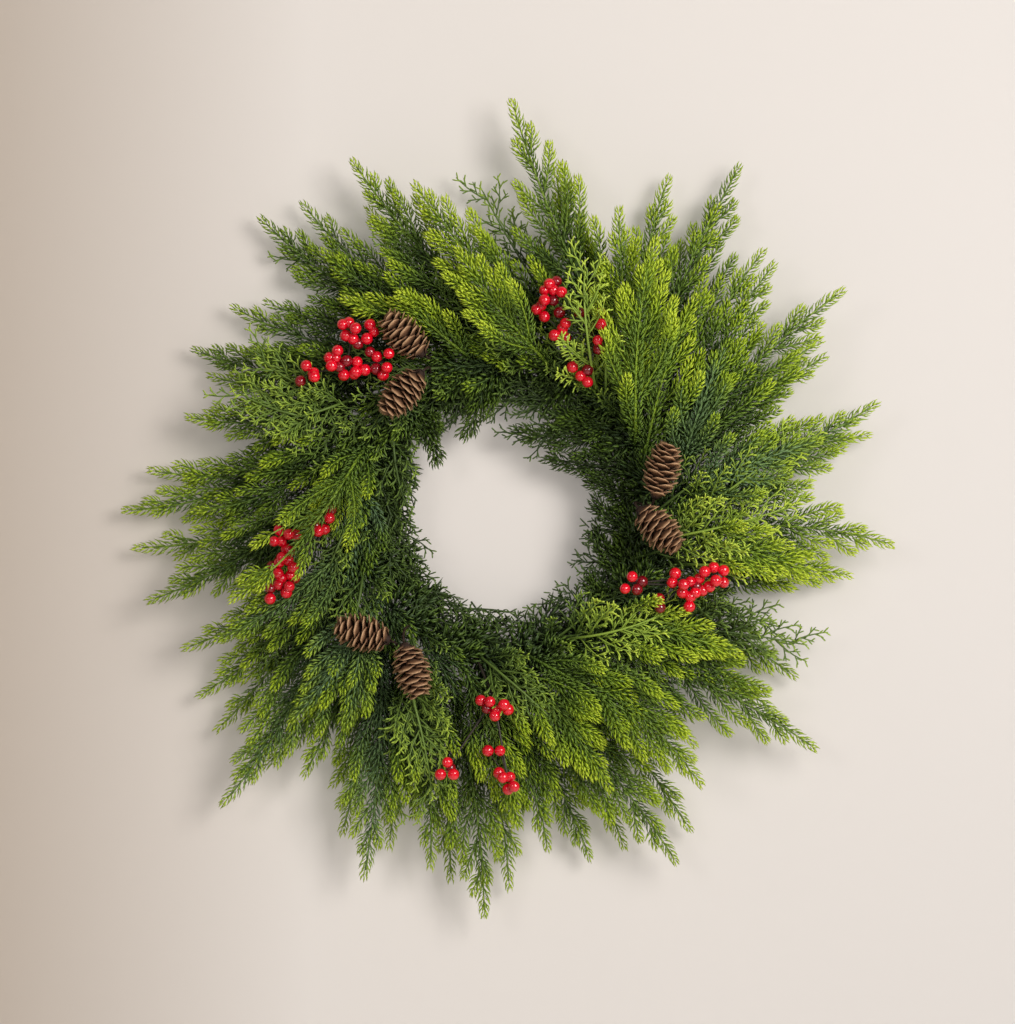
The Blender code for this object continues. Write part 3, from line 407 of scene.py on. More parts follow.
@dataclass(frozen=True)
class Curve:
    """A cubic curve by its four control points."""

    start: Vector
    first: Vector
    second: Vector
    end: Vector

    def point(self, share: float) -> Vector:
        """Returns the point at a share of the curve."""
        rest = 1 - share
        return (self.start * rest**3 + self.first * (3 * rest * rest * share)
                + self.second * (3 * rest * share * share) + self.end * share**3)

    def along(self, share: float) -> Vector:
        """Finds the curve's direction.

        Args:
            share: Where on the curve, from 0 to 1.

        Returns:
            The direction there.
        """
        rest = 1 - share
        slope = ((self.first - self.start) * (3 * rest * rest)
                 + (self.second - self.first) * (6 * rest * share)
                 + (self.end - self.second) * (3 * share * share))
        return slope.normalized()

    def points(self, count: int, left: float = 0.0) -> list[Vector]:
        """Returns evenly shared points from the start to a distance short of the end."""
        last = 1 - left / self.length() if left else 1.0
        return [self.point(last * step / (count - 1)) for step in range(count)]

    def length(self) -> float:
        """Returns the curve's length."""
        points = self.points(24)
        return sum((b - a).length for a, b in zip(points, points[1:]))

    def core_point(self, count: int, share: float) -> Vector:
        """Finds a point on the straight stretches that the solid's stem has.

        Args:
            count: Number of points that the stretches join.
            share: Where on them, from 0 to 1.

        Returns:
            The point.
        """
        points = self.points(count)
        stretch = min(int(share * (count - 1)), count - 2)
        return points[stretch].lerp(points[stretch + 1], share * (count - 1) - stretch)


class Room:
    """The room that pieces already take, as spheres along each of them."""

    near = 40 * MM

    def __init__(self) -> None:
        """Starts with nothing but the two rails."""
        self.centres = np.zeros((0, 3))
        self.radii = np.zeros(0)
        turns = np.arange(240) * 2 * PI / 240
        for radius in (INNER_RAIL, OUTER_RAIL):
            ring = np.stack([radius * np.cos(turns), np.full(240, -RAIL_FLAT),
                             radius * np.sin(turns)], axis=1)
            self.add(ring, [RAIL_WIRE] * 240)

    def add(self, points: list[Vector] | np.ndarray, radii: list[float]) -> None:
        """Adds spheres to what is taken."""
        self.centres = np.vstack([self.centres, np.array(points, float).reshape(-1, 3)])
        self.radii = np.concatenate([self.radii, np.array(radii, float)])

    def left(self, points: list[Vector], radii: list[float]) -> float:
        """Measures how far spheres are from what is taken.

        Args:
            points: The spheres' centres.
            radii: Their radii.

        Returns:
            The least distance, which is below 0 where one reaches into what is taken.
        """
        spots = np.array(points, float).reshape(-1, 1, 3)
        low = spots.min(axis=0) - self.near
        high = spots.max(axis=0) + self.near
        close = ((self.centres > low) & (self.centres < high)).all(axis=1)
        if not close.any():
            return self.near
        apart = np.linalg.norm(spots - self.centres[close], axis=2)
        return float((apart - self.radii[close] - np.array(radii)[:, None]).min())


class FrontView:
    """What foliage leaves clear in the front view: berries and cones, and the ring's opening."""

    opening = (499, 509)
    opening_size = (84 * GRID, 101 * GRID)

    def __init__(self) -> None:
        """Starts with nothing to keep in view."""
        self.balls: list[tuple[float, float, float, float]] = []

    def keep(self, centre: Vector, radius: float) -> None:
        """Keeps a ball in view."""
        self.balls.append((*centre, radius))

    def covered(self, points: list[Vector] | np.ndarray) -> np.ndarray:
        """Finds points that are in front of a ball, in it or in the opening.

        Args:
            points: The points.

        Returns:
            For each point, whether it covers what stays in view.
        """
        spots = np.array(points, float).reshape(-1, 1, 3)
        balls = np.array(self.balls)
        apart = spots - balls[None, :, :3]
        radii = balls[:, 3]
        beside = np.hypot(apart[:, :, 0], apart[:, :, 2])
        in_front = (beside < radii) & (apart[:, :, 1] < 0)
        inside = np.linalg.norm(apart, axis=2) < radii
        return (in_front | inside).any(axis=1) | self.in_opening(spots[:, 0])

    def in_opening(self, spots: np.ndarray) -> np.ndarray:
        """Finds points that are in the ring's opening, as the front view shows it.

        Args:
            spots: The points, one in a row.

        Returns:
            For each point, whether it is in the opening.
        """
        middle = np.array(place(self.opening, 0))
        across = (spots[:, 0] - middle[0]) / self.opening_size[0]
        up = (spots[:, 2] - middle[2]) / self.opening_size[1]
        return np.hypot(across, up) < 1

    def clear(self, curves: list[Curve]) -> list[Curve]:
        """Returns the curves that leave the berries, cones and opening in view."""
        return [curve for curve in curves if self.covered(curve.points(14)).mean() < 0.15]

    def before_opening(self, points: list[Vector]) -> list[Vector]:
        """Stops a stem at the opening's edge.

        Args:
            points: The stem's points.

        Returns:
            The points up to the edge, and two at least.
        """
        inside = self.in_opening(np.array(points))
        first = int(np.argmax(inside)) if inside.any() else len(points)
        return points[:max(first, 2)]


@dataclass
class Skeleton:
    """Lays out a spray's stem and side twigs as the solids have them, clear of what is there.

    Attributes:
        habit: How the spray branches.
        clearance: Least gap between two pieces.
        nearest_wall: Least distance from a stem's middle to the wall.
        step: Distance from one sphere to the next along a stem.
        stem_radius: Radius of the room that a bare stem takes.
        stem_points: Number of points that the solid's stem joins.
        stagger: How far the two twigs of a pair are from each other, as a share of the stem.
        twig_lengths: Least and greatest length of a twig.
        depth_tries: Depths that are tried for a stem, in millimetres from its layer.
        seat_tries: Seats that are tried, in millimetres round the outer rail.
        length_tries: Lengths that are tried for a twig, as shares of its full length.
        tilt_tries: Turns of a twig round its stem that are tried.
        angle_tries: Angles between twig and stem that are tried, as shares of the habit's.
    """

    habit: Habit
    clearance: float = 0.6 * MM
    nearest_wall: float = 8 * MM
    step: float = 3 * MM
    stem_radius: float = 2.0 * MM
    stem_points: int = 4
    stagger: float = 0.03
    twig_lengths: tuple[float, float] = (26 * MM, 72 * MM)
    depth_tries: tuple[int, ...] = (0, 4, -3, 8, -6, 12, -9, 16, 20, 25, 30, 36, 42)
    seat_tries: tuple[int, ...] = (0, 8, -8, 16, -16, 24, -24)
    length_tries: tuple[float, ...] = (1.0, 0.85, 0.7, 0.55)
    tilt_tries: tuple[float, ...] = (0.15, 0.6, -0.35, 1.0)
    angle_tries: tuple[float, ...] = (1.0, 0.75, 1.2)

    def stem_curve(self, spray: Spray, root: Vector, shift: float) -> Curve:
        """Draws a main stem from its seat to its tip.

        Args:
            spray: The spray's place in the layout.
            root: Its seat on a rail.
            shift: How much farther from the wall than its layer it lies.

        Returns:
            The stem's curve.
        """
        middle, end = (depth * MM for depth in spray.layer.value)
        middle = max(middle + shift, min(self.nearest_wall, middle))
        tip = place(spray.tip, max(end + shift, min(self.nearest_wall, end)))
        run = Vector((tip.x - root.x, 0, tip.z - root.z))
        side = Vector((-run.z, 0, run.x))
        risen = root + run * 0.08 + FRONT * (middle + root.y) * 1.1
        turned = root + run * 0.55 + side * spray.bow * 2
        turned.y = -middle - 4 * MM
        return Curve(root, risen, turned, tip)

    def spheres(self, curve: Curve, start: float, end: float,
                reach: float) -> tuple[list[Vector], list[float]]:
        """Sets spheres along a stretch of a curve.

        Args:
            curve: The curve.
            start: Where the stretch starts, as a share of the curve.
            end: Where it ends, as a share of the curve.
            reach: Radius of the spheres.

        Returns:
            Their centres and their radii.
        """
        count = max(2, int(curve.length() * (end - start) / self.step))
        shares = [start + (end - start) * index / (count - 1) for index in range(count)]
        return [curve.point(share) for share in shares], [reach] * count

    def stem_spheres(self, curve: Curve) -> tuple[list[Vector], list[float]]:
        """Sets spheres along a stem: slim where it is bare, wide where it has needles.

        Args:
            curve: The stem.

        Returns:
            Their centres and their radii.
        """
        free = min(0.9, 10 * MM / curve.length())
        points, radii = self.spheres(curve, free, self.habit.bare, self.stem_radius)
        more, more_radii = self.spheres(curve, self.habit.bare, 1.0, self.habit.reach)
        return points + more, radii + more_radii

    def twig_curve(self, stem: Curve, share: float, side: int, angle: float, tilt: float,
                   length: float, bend: float = 0.45) -> Curve:
        """Draws a side twig that bends towards its stem's direction.

        Args:
            stem: The stem that it leaves.
            share: Where it leaves, as a share of the stem.
            side: 1 or -1, for the side of the stem.
            angle: Angle between twig and stem.
            tilt: Turn of the twig round its stem, towards the front.
            length: The twig's length.
            bend: Share of the angle that is left at the twig's tip.

        Returns:
            The twig's curve.
        """
        point = stem.core_point(self.stem_points, share)
        along = stem.along(share)
        across = along.cross(FRONT).normalized() * side
        normal = across.cross(along) * side
        across = (across * math.cos(tilt) + normal * math.sin(tilt)).normalized()
        first = along * math.cos(angle) + across * math.sin(angle)
        last = along * math.cos(angle * bend) + across * math.sin(angle * bend)
        end = point + first * length * 0.55 + last * length * 0.45
        return Curve(point, point + first * length * 0.35, end - last * length * 0.3, end)

    def clear_twig(self, room: Room, stem: Curve, share: float, side: int,
                   length: float) -> Curve | None:
        """Finds the longest twig that keeps clear of the other pieces.

        Args:
            room: The room that is taken.
            stem: The stem that it leaves.
            share: Where it leaves, as a share of the stem.
            side: 1 or -1, for the side of the stem.
            length: Its full length.

        Returns:
            The twig's curve, or None where there is no room for one.
        """
        for factor in self.length_tries:
            for tilt in self.tilt_tries:
                for turn in self.angle_tries:
                    curve = self.twig_curve(stem, share, side, self.habit.angle * turn, tilt,
                                            length * factor)
                    points, radii = self.spheres(curve, 0.15, 1.0, self.habit.reach)
                    if min(-point.y for point in points) < self.nearest_wall:
                        continue
                    if room.left(points, radii) > self.clearance:
                        return curve
        return None

    def clear_stem(self, room: Room, spray: Spray) -> Curve:
        """Finds the first depth and seat that keep a stem clear, or those with the most room.

        Args:
            room: The room that is taken.
            spray: The spray's place in the layout.

        Returns:
            The stem's curve.
        """
        best = None
        most = 0.0
        middle = Vector(CENTRE)
        for slide in self.seat_tries:
            turn = Matrix.Rotation(slide * MM / OUTER_RAIL, 2)
            root = seat_on_rail(turn @ (Vector(spray.root) - middle) + middle)
            for shift in self.depth_tries:
                curve = self.stem_curve(spray, root, shift * MM)
                room_left = room.left(*self.stem_spheres(curve))
                if room_left > self.clearance:
                    return curve
                if best is None or room_left > most:
                    best = curve
                    most = room_left
        return best

    def twig_length(self, length: float, share: float) -> float:
        """Returns the length of the twig that leaves a stem at a share of its length."""
        shortest, longest = self.twig_lengths
        return min(max(self.habit.length_share * length * (1 - share), shortest), longest)

    def lay(self, room: Room, spray: Spray) -> tuple[Curve, list[Curve]]:
        """Lays out a spray and takes its room.

        Args:
            room: The room that is taken so far.
            spray: The spray's place in the layout.

        Returns:
            The stem's curve and those of its side twigs.
        """
        stem = self.clear_stem(room, spray)
        length = stem.length()
        twigs = []
        for share in self.habit.shares:
            for side in (1, -1):
                twig = self.clear_twig(room, stem, share + self.stagger * side, side,
                                       self.twig_length(length, share))
                if twig:
                    twigs.append(twig)
        points, radii = self.stem_spheres(stem)
        for twig in twigs:
            more, more_radii = self.spheres(twig, 0.0, 1.0, self.habit.reach)
            points += more
            radii += more_radii
        room.add(points, radii)
        return stem, twigs

    def lay_freely(self, spray: Spray, depth: float) -> Curve:
        """Lays out the stem of a spray that no solid stands for.

        Args:
            spray: The spray's place in the layout.
            depth: How much farther from the wall than its layer it lies.

        Returns:
            The stem's curve.
        """
        return self.stem_curve(spray, seat_on_rail(spray.root), depth)


def painted_shade_at(point: Vector) -> float:
    """Paints shade into the colour of foliage by its place: dark deep in the ring, where the shade
    falls, full at its front and rim.

    Args:
        point: The place, with the ring's centre at the origin.

    Returns:
        How bright foliage is painted there, up to 1: a painted-shade factor.
    """
    deep = (-point.y - 10 * MM) / (46 * MM)
    rim = (math.hypot(point.x, point.z) - 165 * MM) / (70 * MM)
    return min(max(0.16 + 0.84 * max(deep, rim), 0.16), 1.0)


# Meshes


def turn_to(direction: Vector) -> Matrix:
    """Returns a rotation whose Z axis is the direction."""
    return direction.to_track_quat("Z", "Y").to_matrix().to_4x4()


def grow_rod(bm: bmesh.types.BMesh, points: list[Vector], radii: list[float],
             sides: int) -> None:
    """Grows a closed rod through points, by extruding a polygon from one to the next.

    Args:
        bm: The mesh that it is added to.
        points: The rod's centreline.
        radii: The rod's radius at each point.
        sides: Sides of the polygon.
    """
    runs = [(b - a).normalized() for a, b in zip(points, points[1:])]
    runs = [runs[0]] + [(a + b).normalized() for a, b in zip(runs, runs[1:])] + [runs[-1]]
    here = turn_to(runs[0])
    made = bmesh.ops.create_circle(bm, cap_ends=True, segments=sides, radius=radii[0],
                                   matrix=Matrix.Translation(points[0]) @ here)
    face = made["verts"][0].link_faces[0]
    for index in range(1, len(points)):
        swing = runs[index - 1].rotation_difference(runs[index]).to_matrix()
        there = swing.to_4x4() @ here
        grown = bmesh.ops.extrude_face_region(bm, geom=[face])["geom"]
        if index > 1:
            bmesh.ops.delete(bm, geom=[face], context="FACES_ONLY")
        face = next(item for item in grown if isinstance(item, bmesh.types.BMFace))
        scale = Matrix.Scale(radii[index] / radii[index - 1], 4)
        move = (Matrix.Translation(points[index]) @ there @ scale @ here.inverted()
                @ Matrix.Translation(-points[index - 1]))
        bmesh.ops.transform(bm, matrix=move, verts=face.verts)
        here = there


@dataclass
class Shape:
    """A small triangle mesh as arrays: its points, its triangles and each point's share.

    Attributes:
        points: Points, with the shape's root at the origin and its tip at +Z.
        faces: Triangles.
        share: How far along the shape each point is, from 0 at the root to 1 at the tip.
    """

    points: np.ndarray
    faces: np.ndarray
    share: np.ndarray

    @classmethod
    def from_bmesh(cls, bm: bmesh.types.BMesh) -> "Shape":
        """Takes a mesh over as triangles.

        Args:
            bm: The mesh, which is freed.

        Returns:
            Its points and triangles, with shares by height.
        """
        bmesh.ops.recalc_face_normals(bm, faces=bm.faces)
        bmesh.ops.triangulate(bm, faces=bm.faces)
        bm.verts.ensure_lookup_table()
        bm.verts.index_update()
        points = np.array([vert.co for vert in bm.verts], float).reshape(-1, 3)
        faces = np.array([[vert.index for vert in face.verts] for face in bm.faces],
                         int).reshape(-1, 3)
        bm.free()
        low = points[:, 2].min()
        high = points[:, 2].max()
        share = (points[:, 2] - low) / max(high - low, 1e-9)
        return cls(points, faces, share)


@dataclass
class Stamps:
    """Places for many copies of one shape.

    Attributes:
        rows: For each copy its root, its direction, the side that its +X faces, its length,
            its width, how bright it is and how bluish it is.
    """

    rows: list[tuple[float, ...]] = field(default_factory=list)

    def add(self, root: Vector, along: Vector, outward: Vector, length: float, width: float,
            tone: float, hue: float) -> None:
        """Adds one copy's place."""
        self.rows.append((*root, *along, *outward, length, width, tone, hue))


class Piece:
    """One visible piece: rods and stamped shapes gathered into one mesh of triangles."""

    def __init__(self, name: str) -> None:
        """Starts an empty piece.

        Args:
            name: Name of the piece.
        """
        self.name = name
        self.points: list[np.ndarray] = []
        self.faces: list[np.ndarray] = []
        self.marks: list[np.ndarray] = []
        self.slots: list[np.ndarray] = []
        self.count = 0

    def _append(self, points: np.ndarray, faces: np.ndarray, marks: np.ndarray,
                slot: int) -> None:
        """Adds a part of the mesh.

        Args:
            points: Its points.
            faces: Its triangles, by the numbers of its own points.
            marks: Each point's share, tone, hue and chance value.
            slot: Number of its material.
        """
        self.points.append(points)
        self.faces.append(faces + self.count)
        self.marks.append(marks)
        self.slots.append(np.full(len(faces), slot, np.int32))
        self.count += len(points)

    def add_bmesh(self, bm: bmesh.types.BMesh, tone: float, hue: float, slot: int = 0) -> None:
        """Adds a mesh with one tone.

        Args:
            bm: The mesh, which is freed.
            tone: How bright it is.
            hue: How bluish it is.
            slot: Number of its material.
        """
        shape = Shape.from_bmesh(bm)
        marks = np.zeros((len(shape.points), 4))
        marks[:, 1] = tone
        marks[:, 2] = hue
        self._append(shape.points, shape.faces, marks, slot)

    def add_stems(self, bm: bmesh.types.BMesh, tone: float, hue: float) -> None:
        """Adds stems that carry the same painted shade as the leaves round them, darker deep in the
        ring.

        Args:
            bm: The stems' mesh, which is freed.
            tone: How bright they are in full light.
            hue: How bluish they are.
        """
        shape = Shape.from_bmesh(bm)
        marks = np.full((len(shape.points), 4), 0.5)
        # painted shade: the stems' tone is darkened deep in the ring, where shade falls
        marks[:, 1] = [tone * painted_shade_at(Vector(point)) for point in shape.points]
        marks[:, 2] = hue
        self._append(shape.points, shape.faces, marks, 0)

    def add_stamps(self, shape: Shape, stamps: Stamps, slot: int = 0,
                   view: FrontView | None = None) -> None:
        """Adds a copy of a shape at each place.

        Args:
            shape: The shape, one unit long and wide.
            stamps: The places.
            slot: Number of the copies' material.
            view: What the copies leave in view, or None where they may cover it.
        """
        rows = np.array(stamps.rows, float)
        if view:
            tips = rows[:, 0:3] + rows[:, 3:6] * rows[:, 9:10] * 0.7
            rows = rows[~(view.covered(rows[:, 0:3]) | view.covered(tips))]
        along = rows[:, 3:6] / np.linalg.norm(rows[:, 3:6], axis=1, keepdims=True)
        across = np.cross(along, rows[:, 6:9])
        across /= np.maximum(np.linalg.norm(across, axis=1, keepdims=True), 1e-9)
        outward = np.cross(across, along)
        length, width = rows[:, 9, None, None], rows[:, 10, None, None]
        local = shape.points[None]
        made = (rows[:, None, 0:3] + local[:, :, 0:1] * width * outward[:, None]
                + local[:, :, 1:2] * width * across[:, None]
                + local[:, :, 2:3] * length * along[:, None])
        number = len(rows)
        size = len(shape.points)
        faces = shape.faces[None] + (np.arange(number) * size)[:, None, None]
        marks = np.zeros((number, size, 4))
        marks[:, :, 0] = shape.share
        marks[:, :, 1] = rows[:, 11, None]
        marks[:, :, 2] = rows[:, 12, None]
        marks[:, :, 3] = (np.arange(number) * 0.618034 % 1)[:, None]
        self._append(made.reshape(-1, 3), faces.reshape(-1, 3), marks.reshape(-1, 4), slot)

    def finish(self, materials: list[bpy.types.Material],
               node: str | None) -> bpy.types.Object:
        """Makes the object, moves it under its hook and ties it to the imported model.

        Args:
            materials: The piece's materials, by slot number.
            node: The solid that it stands for, or None.

        Returns:
            The finished object.
        """
        points = np.vstack(self.points)
        points[:, 2] -= HOOK_RISE
        margin = 0.5 * MM
        low, high = (np.array(corner) for corner in CAD_BOX)
        points = np.clip(points, low + margin * (low < 0), high - margin * (high > 0))
        points[:, 1] = np.minimum(points[:, 1], -margin)
        faces = np.vstack(self.faces).astype(np.int32)
        mesh = bpy.data.meshes.new(self.name)
        mesh.vertices.add(len(points))
        mesh.vertices.foreach_set("co", points.astype(np.float32).ravel())
        mesh.loops.add(faces.size)
        mesh.loops.foreach_set("vertex_index", faces.ravel())
        mesh.polygons.add(len(faces))
        mesh.polygons.foreach_set("loop_start", np.arange(0, faces.size, 3, dtype=np.int32))
        mesh.polygons.foreach_set("material_index", np.concatenate(self.slots))
        mesh.update(calc_edges=True)
        # for foliage, the tone in this attribute carries painted shade as well as the leaves' own
        # tone
        marks = mesh.attributes.new("growth", "FLOAT_COLOR", "POINT")
        marks.data.foreach_set("color", np.vstack(self.marks).astype(np.float32).ravel())
        mesh.shade_smooth()
        for material in materials:
            mesh.materials.append(material)
        piece = bpy.data.objects.new(self.name, mesh)
        bpy.context.scene.collection.objects.link(piece)
        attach(piece, "root")
        if node:
            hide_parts(node)
        log.info("%s: %d triangles", self.name, len(faces))
        return piece


# Finishes


def shader_of(material: bpy.types.Material) -> bpy.types.ShaderNode:
    """Returns a material's main shader node."""
    return material.node_tree.nodes["Principled BSDF"]


@dataclass(frozen=True)
class LeafFinish:
    """Soft moulded leaves: dark and dull when old, bright and yellow-green when new, and dark as
    painted shade where the tone they read is shaded deep in the ring.

    Attributes:
        name: Name of the material.
        stops: Colours from old and in painted shade to new, each with its place on the ramp.
        bluish: Colour of bluish older needles.
        tip_gain: How much brighter the tip of a leaf is than its root.
        roughness: Roughness of the surface.
    """

    name: str
    stops: tuple[tuple[float, tuple[float, float, float]], ...]
    bluish: tuple[float, float, float]
    tip_gain: float
    roughness: float = 0.42

    def make(self) -> bpy.types.Material:
        """Builds the material.

        Returns:
            The material, which reads the piece's growth attribute.
        """
        material = bpy.data.materials.new(self.name)
        material.use_nodes = True
        nodes = material.node_tree.nodes
        links = material.node_tree.links
        shader = shader_of(material)
        shader.inputs["Roughness"].default_value = self.roughness
        shader.inputs["Specular IOR Level"].default_value = 0.34
        growth = nodes.new("ShaderNodeAttribute")
        growth.attribute_name = "growth"
        parts = nodes.new("ShaderNodeSeparateColor")
        links.new(growth.outputs["Color"], parts.inputs["Color"])

        tip = nodes.new("ShaderNodeMath")
        tip.operation = "MULTIPLY_ADD"
        tip.inputs[1].default_value = self.tip_gain
        links.new(parts.outputs["Red"], tip.inputs[0])
        links.new(parts.outputs["Green"], tip.inputs[2])
        vary = nodes.new("ShaderNodeMath")
        vary.operation = "MULTIPLY_ADD"
        vary.inputs[1].default_value = 0.12
        links.new(growth.outputs["Alpha"], vary.inputs[0])
        links.new(tip.outputs["Value"], vary.inputs[2])
        lower = nodes.new("ShaderNodeMath")
        lower.operation = "SUBTRACT"
        lower.use_clamp = True
        lower.inputs[1].default_value = 0.06 + self.tip_gain / 2
        links.new(vary.outputs["Value"], lower.inputs[0])

        # the ramp's darkest stops give old leaves and also the painted shade deep in the ring
        ramp = nodes.new("ShaderNodeValToRGB")
        elements = ramp.color_ramp.elements
        while len(elements) < len(self.stops):
            elements.new(0.5)
        for element, (spot, colour) in zip(elements, self.stops):
            element.position = spot
            element.color = (*colour, 1.0)
        links.new(lower.outputs["Value"], ramp.inputs["Fac"])

        blue = nodes.new("ShaderNodeMix")
        blue.data_type = "RGBA"
        blue.inputs[7].default_value = (*self.bluish, 1.0)
        links.new(parts.outputs["Blue"], blue.inputs[0])
        links.new(ramp.outputs["Color"], blue.inputs[6])
        links.new(blue.outputs[2], shader.inputs["Base Color"])
        return material


@dataclass(frozen=True)
class ScaleFinish:
    """Dry cone scales: dark inside, brown on the back, with a pale tan edge."""

    name: str = "cone_scale_finish"
    inner: tuple[float, float, float] = (0.030, 0.012, 0.006)
    back: tuple[float, float, float] = (0.235, 0.118, 0.058)
    edge: tuple[float, float, float] = (0.60, 0.37, 0.205)
    roughness: float = 0.72

    def make(self) -> bpy.types.Material:
        """Builds the material.

        Returns:
            The material, with a fine mottle and bump over its scales.
        """
        material = bpy.data.materials.new(self.name)
        material.use_nodes = True
        nodes = material.node_tree.nodes
        links = material.node_tree.links
        shader = shader_of(material)
        shader.inputs["Roughness"].default_value = self.roughness
        growth = nodes.new("ShaderNodeAttribute")
        growth.attribute_name = "growth"
        parts = nodes.new("ShaderNodeSeparateColor")
        links.new(growth.outputs["Color"], parts.inputs["Color"])
        ramp = nodes.new("ShaderNodeValToRGB")
        elements = ramp.color_ramp.elements
        elements.new(0.6)
        for element, spot, colour in zip(elements, (0.3, 0.68, 0.95),
                                         (self.inner, self.back, self.edge)):
            element.position = spot
            element.color = (*colour, 1.0)
        links.new(parts.outputs["Red"], ramp.inputs["Fac"])
        place_on = nodes.new("ShaderNodeTexCoord")
        noise = nodes.new("ShaderNodeTexNoise")
        noise.inputs["Scale"].default_value = 900
        noise.inputs["Detail"].default_value = 4
        links.new(place_on.outputs["Object"], noise.inputs["Vector"])
        mottle = nodes.new("ShaderNodeMix")
        mottle.data_type = "RGBA"
        mottle.blend_type = "MULTIPLY"
        mottle.inputs[0].default_value = 0.55
        links.new(ramp.outputs["Color"], mottle.inputs[6])
        spread = nodes.new("ShaderNodeValToRGB")
        spread.color_ramp.elements[0].position = 0.35
        spread.color_ramp.elements[0].color = (0.45, 0.4, 0.36, 1)
        spread.color_ramp.elements[1].position = 0.65
        spread.color_ramp.elements[1].color = (1.15, 1.1, 1.05, 1)
        links.new(noise.outputs["Fac"], spread.inputs["Fac"])
        links.new(spread.outputs["Color"], mottle.inputs[7])
        links.new(mottle.outputs[2], shader.inputs["Base Color"])
        bump = nodes.new("ShaderNodeBump")
        bump.inputs["Strength"].default_value = 0.35
        bump.inputs["Distance"].default_value = 0.4 * MM
        links.new(noise.outputs["Fac"], bump.inputs["Height"])
        links.new(bump.outputs["Normal"], shader.inputs["Normal"])
        return material


@dataclass(frozen=True)
class BerryFinish:
    """Lacquered berries: bright red in front, maroon deep in the bunch."""

    name: str = "berry_lacquer"
    bright: tuple[float, float, float] = (0.86, 0.0015, 0.020)
    deep: tuple[float, float, float] = (0.085, 0.001, 0.006)
    roughness: float = 0.4

    def make(self) -> bpy.types.Material:
        """Builds the material.

        Returns:
            The material, with a clear coat and a faint mottle.
        """
        material = bpy.data.materials.new(self.name)
        material.use_nodes = True
        nodes = material.node_tree.nodes
        links = material.node_tree.links
        shader = shader_of(material)
        shader.inputs["Roughness"].default_value = self.roughness
        shader.inputs["Specular IOR Level"].default_value = 0.05
        shader.inputs["Coat Weight"].default_value = 0.9
        shader.inputs["Coat Roughness"].default_value = 0.04
        shader.inputs["Coat IOR"].default_value = 1.75
        growth = nodes.new("ShaderNodeAttribute")
        growth.attribute_name = "growth"
        parts = nodes.new("ShaderNodeSeparateColor")
        links.new(growth.outputs["Color"], parts.inputs["Color"])
        place_on = nodes.new("ShaderNodeTexCoord")
        noise = nodes.new("ShaderNodeTexNoise")
        noise.inputs["Scale"].default_value = 260
        links.new(place_on.outputs["Object"], noise.inputs["Vector"])
        vary = nodes.new("ShaderNodeMath")
        vary.operation = "MULTIPLY_ADD"
        vary.use_clamp = True
        vary.inputs[1].default_value = 0.3
        links.new(noise.outputs["Fac"], vary.inputs[0])
        lower = nodes.new("ShaderNodeMath")
        lower.operation = "SUBTRACT"
        lower.inputs[1].default_value = 0.15
        links.new(parts.outputs["Green"], lower.inputs[0])
        links.new(lower.outputs["Value"], vary.inputs[2])
        tint = nodes.new("ShaderNodeMix")
        tint.data_type = "RGBA"
        tint.inputs[6].default_value = (*self.deep, 1.0)
        tint.inputs[7].default_value = (*self.bright, 1.0)
        links.new(vary.outputs["Value"], tint.inputs[0])
        links.new(tint.outputs[2], shader.inputs["Base Color"])
        return material


@dataclass(frozen=True)
class WireFinish:
    """Dull wire, with a faint unevenness in its colour."""

    name: str
    colour: tuple[float, float, float]
    worn: tuple[float, float, float]
    roughness: float
    metallic: float = 0.0

    def make(self) -> bpy.types.Material:
        """Builds the material.

        Returns:
            The material.
        """
        material = bpy.data.materials.new(self.name)
        material.use_nodes = True
        nodes = material.node_tree.nodes
        links = material.node_tree.links
        shader = shader_of(material)
        shader.inputs["Roughness"].default_value = self.roughness
        shader.inputs["Metallic"].default_value = self.metallic
        place_on = nodes.new("ShaderNodeTexCoord")
        noise = nodes.new("ShaderNodeTexNoise")
        noise.inputs["Scale"].default_value = 320
        noise.inputs["Detail"].default_value = 3
        links.new(place_on.outputs["Object"], noise.inputs["Vector"])
        tint = nodes.new("ShaderNodeMix")
        tint.data_type = "RGBA"
        tint.inputs[6].default_value = (*self.colour, 1.0)
        tint.inputs[7].default_value = (*self.worn, 1.0)
        links.new(noise.outputs["Fac"], tint.inputs[0])
        links.new(tint.outputs[2], shader.inputs["Base Color"])
        return material


PINE_FINISH = LeafFinish(
    "pine_needles",
    ((0.0, (0.006, 0.011, 0.002)), (0.2, (0.052, 0.094, 0.012)), (0.45, (0.175, 0.285, 0.022)),
     (0.72, (0.40, 0.55, 0.022)), (1.0, (0.62, 0.76, 0.05))),
    (0.19, 0.31, 0.165), 0.24)
CEDAR_FINISH = LeafFinish(
    "cedar_leaves",
    ((0.0, (0.007, 0.012, 0.004)), (0.2, (0.052, 0.088, 0.020)), (0.45, (0.17, 0.265, 0.045)),
     (0.72, (0.38, 0.52, 0.06)), (1.0, (0.60, 0.74, 0.09))),
    (0.08, 0.14, 0.08), 0.10, 0.48)


# Sub-assemblies


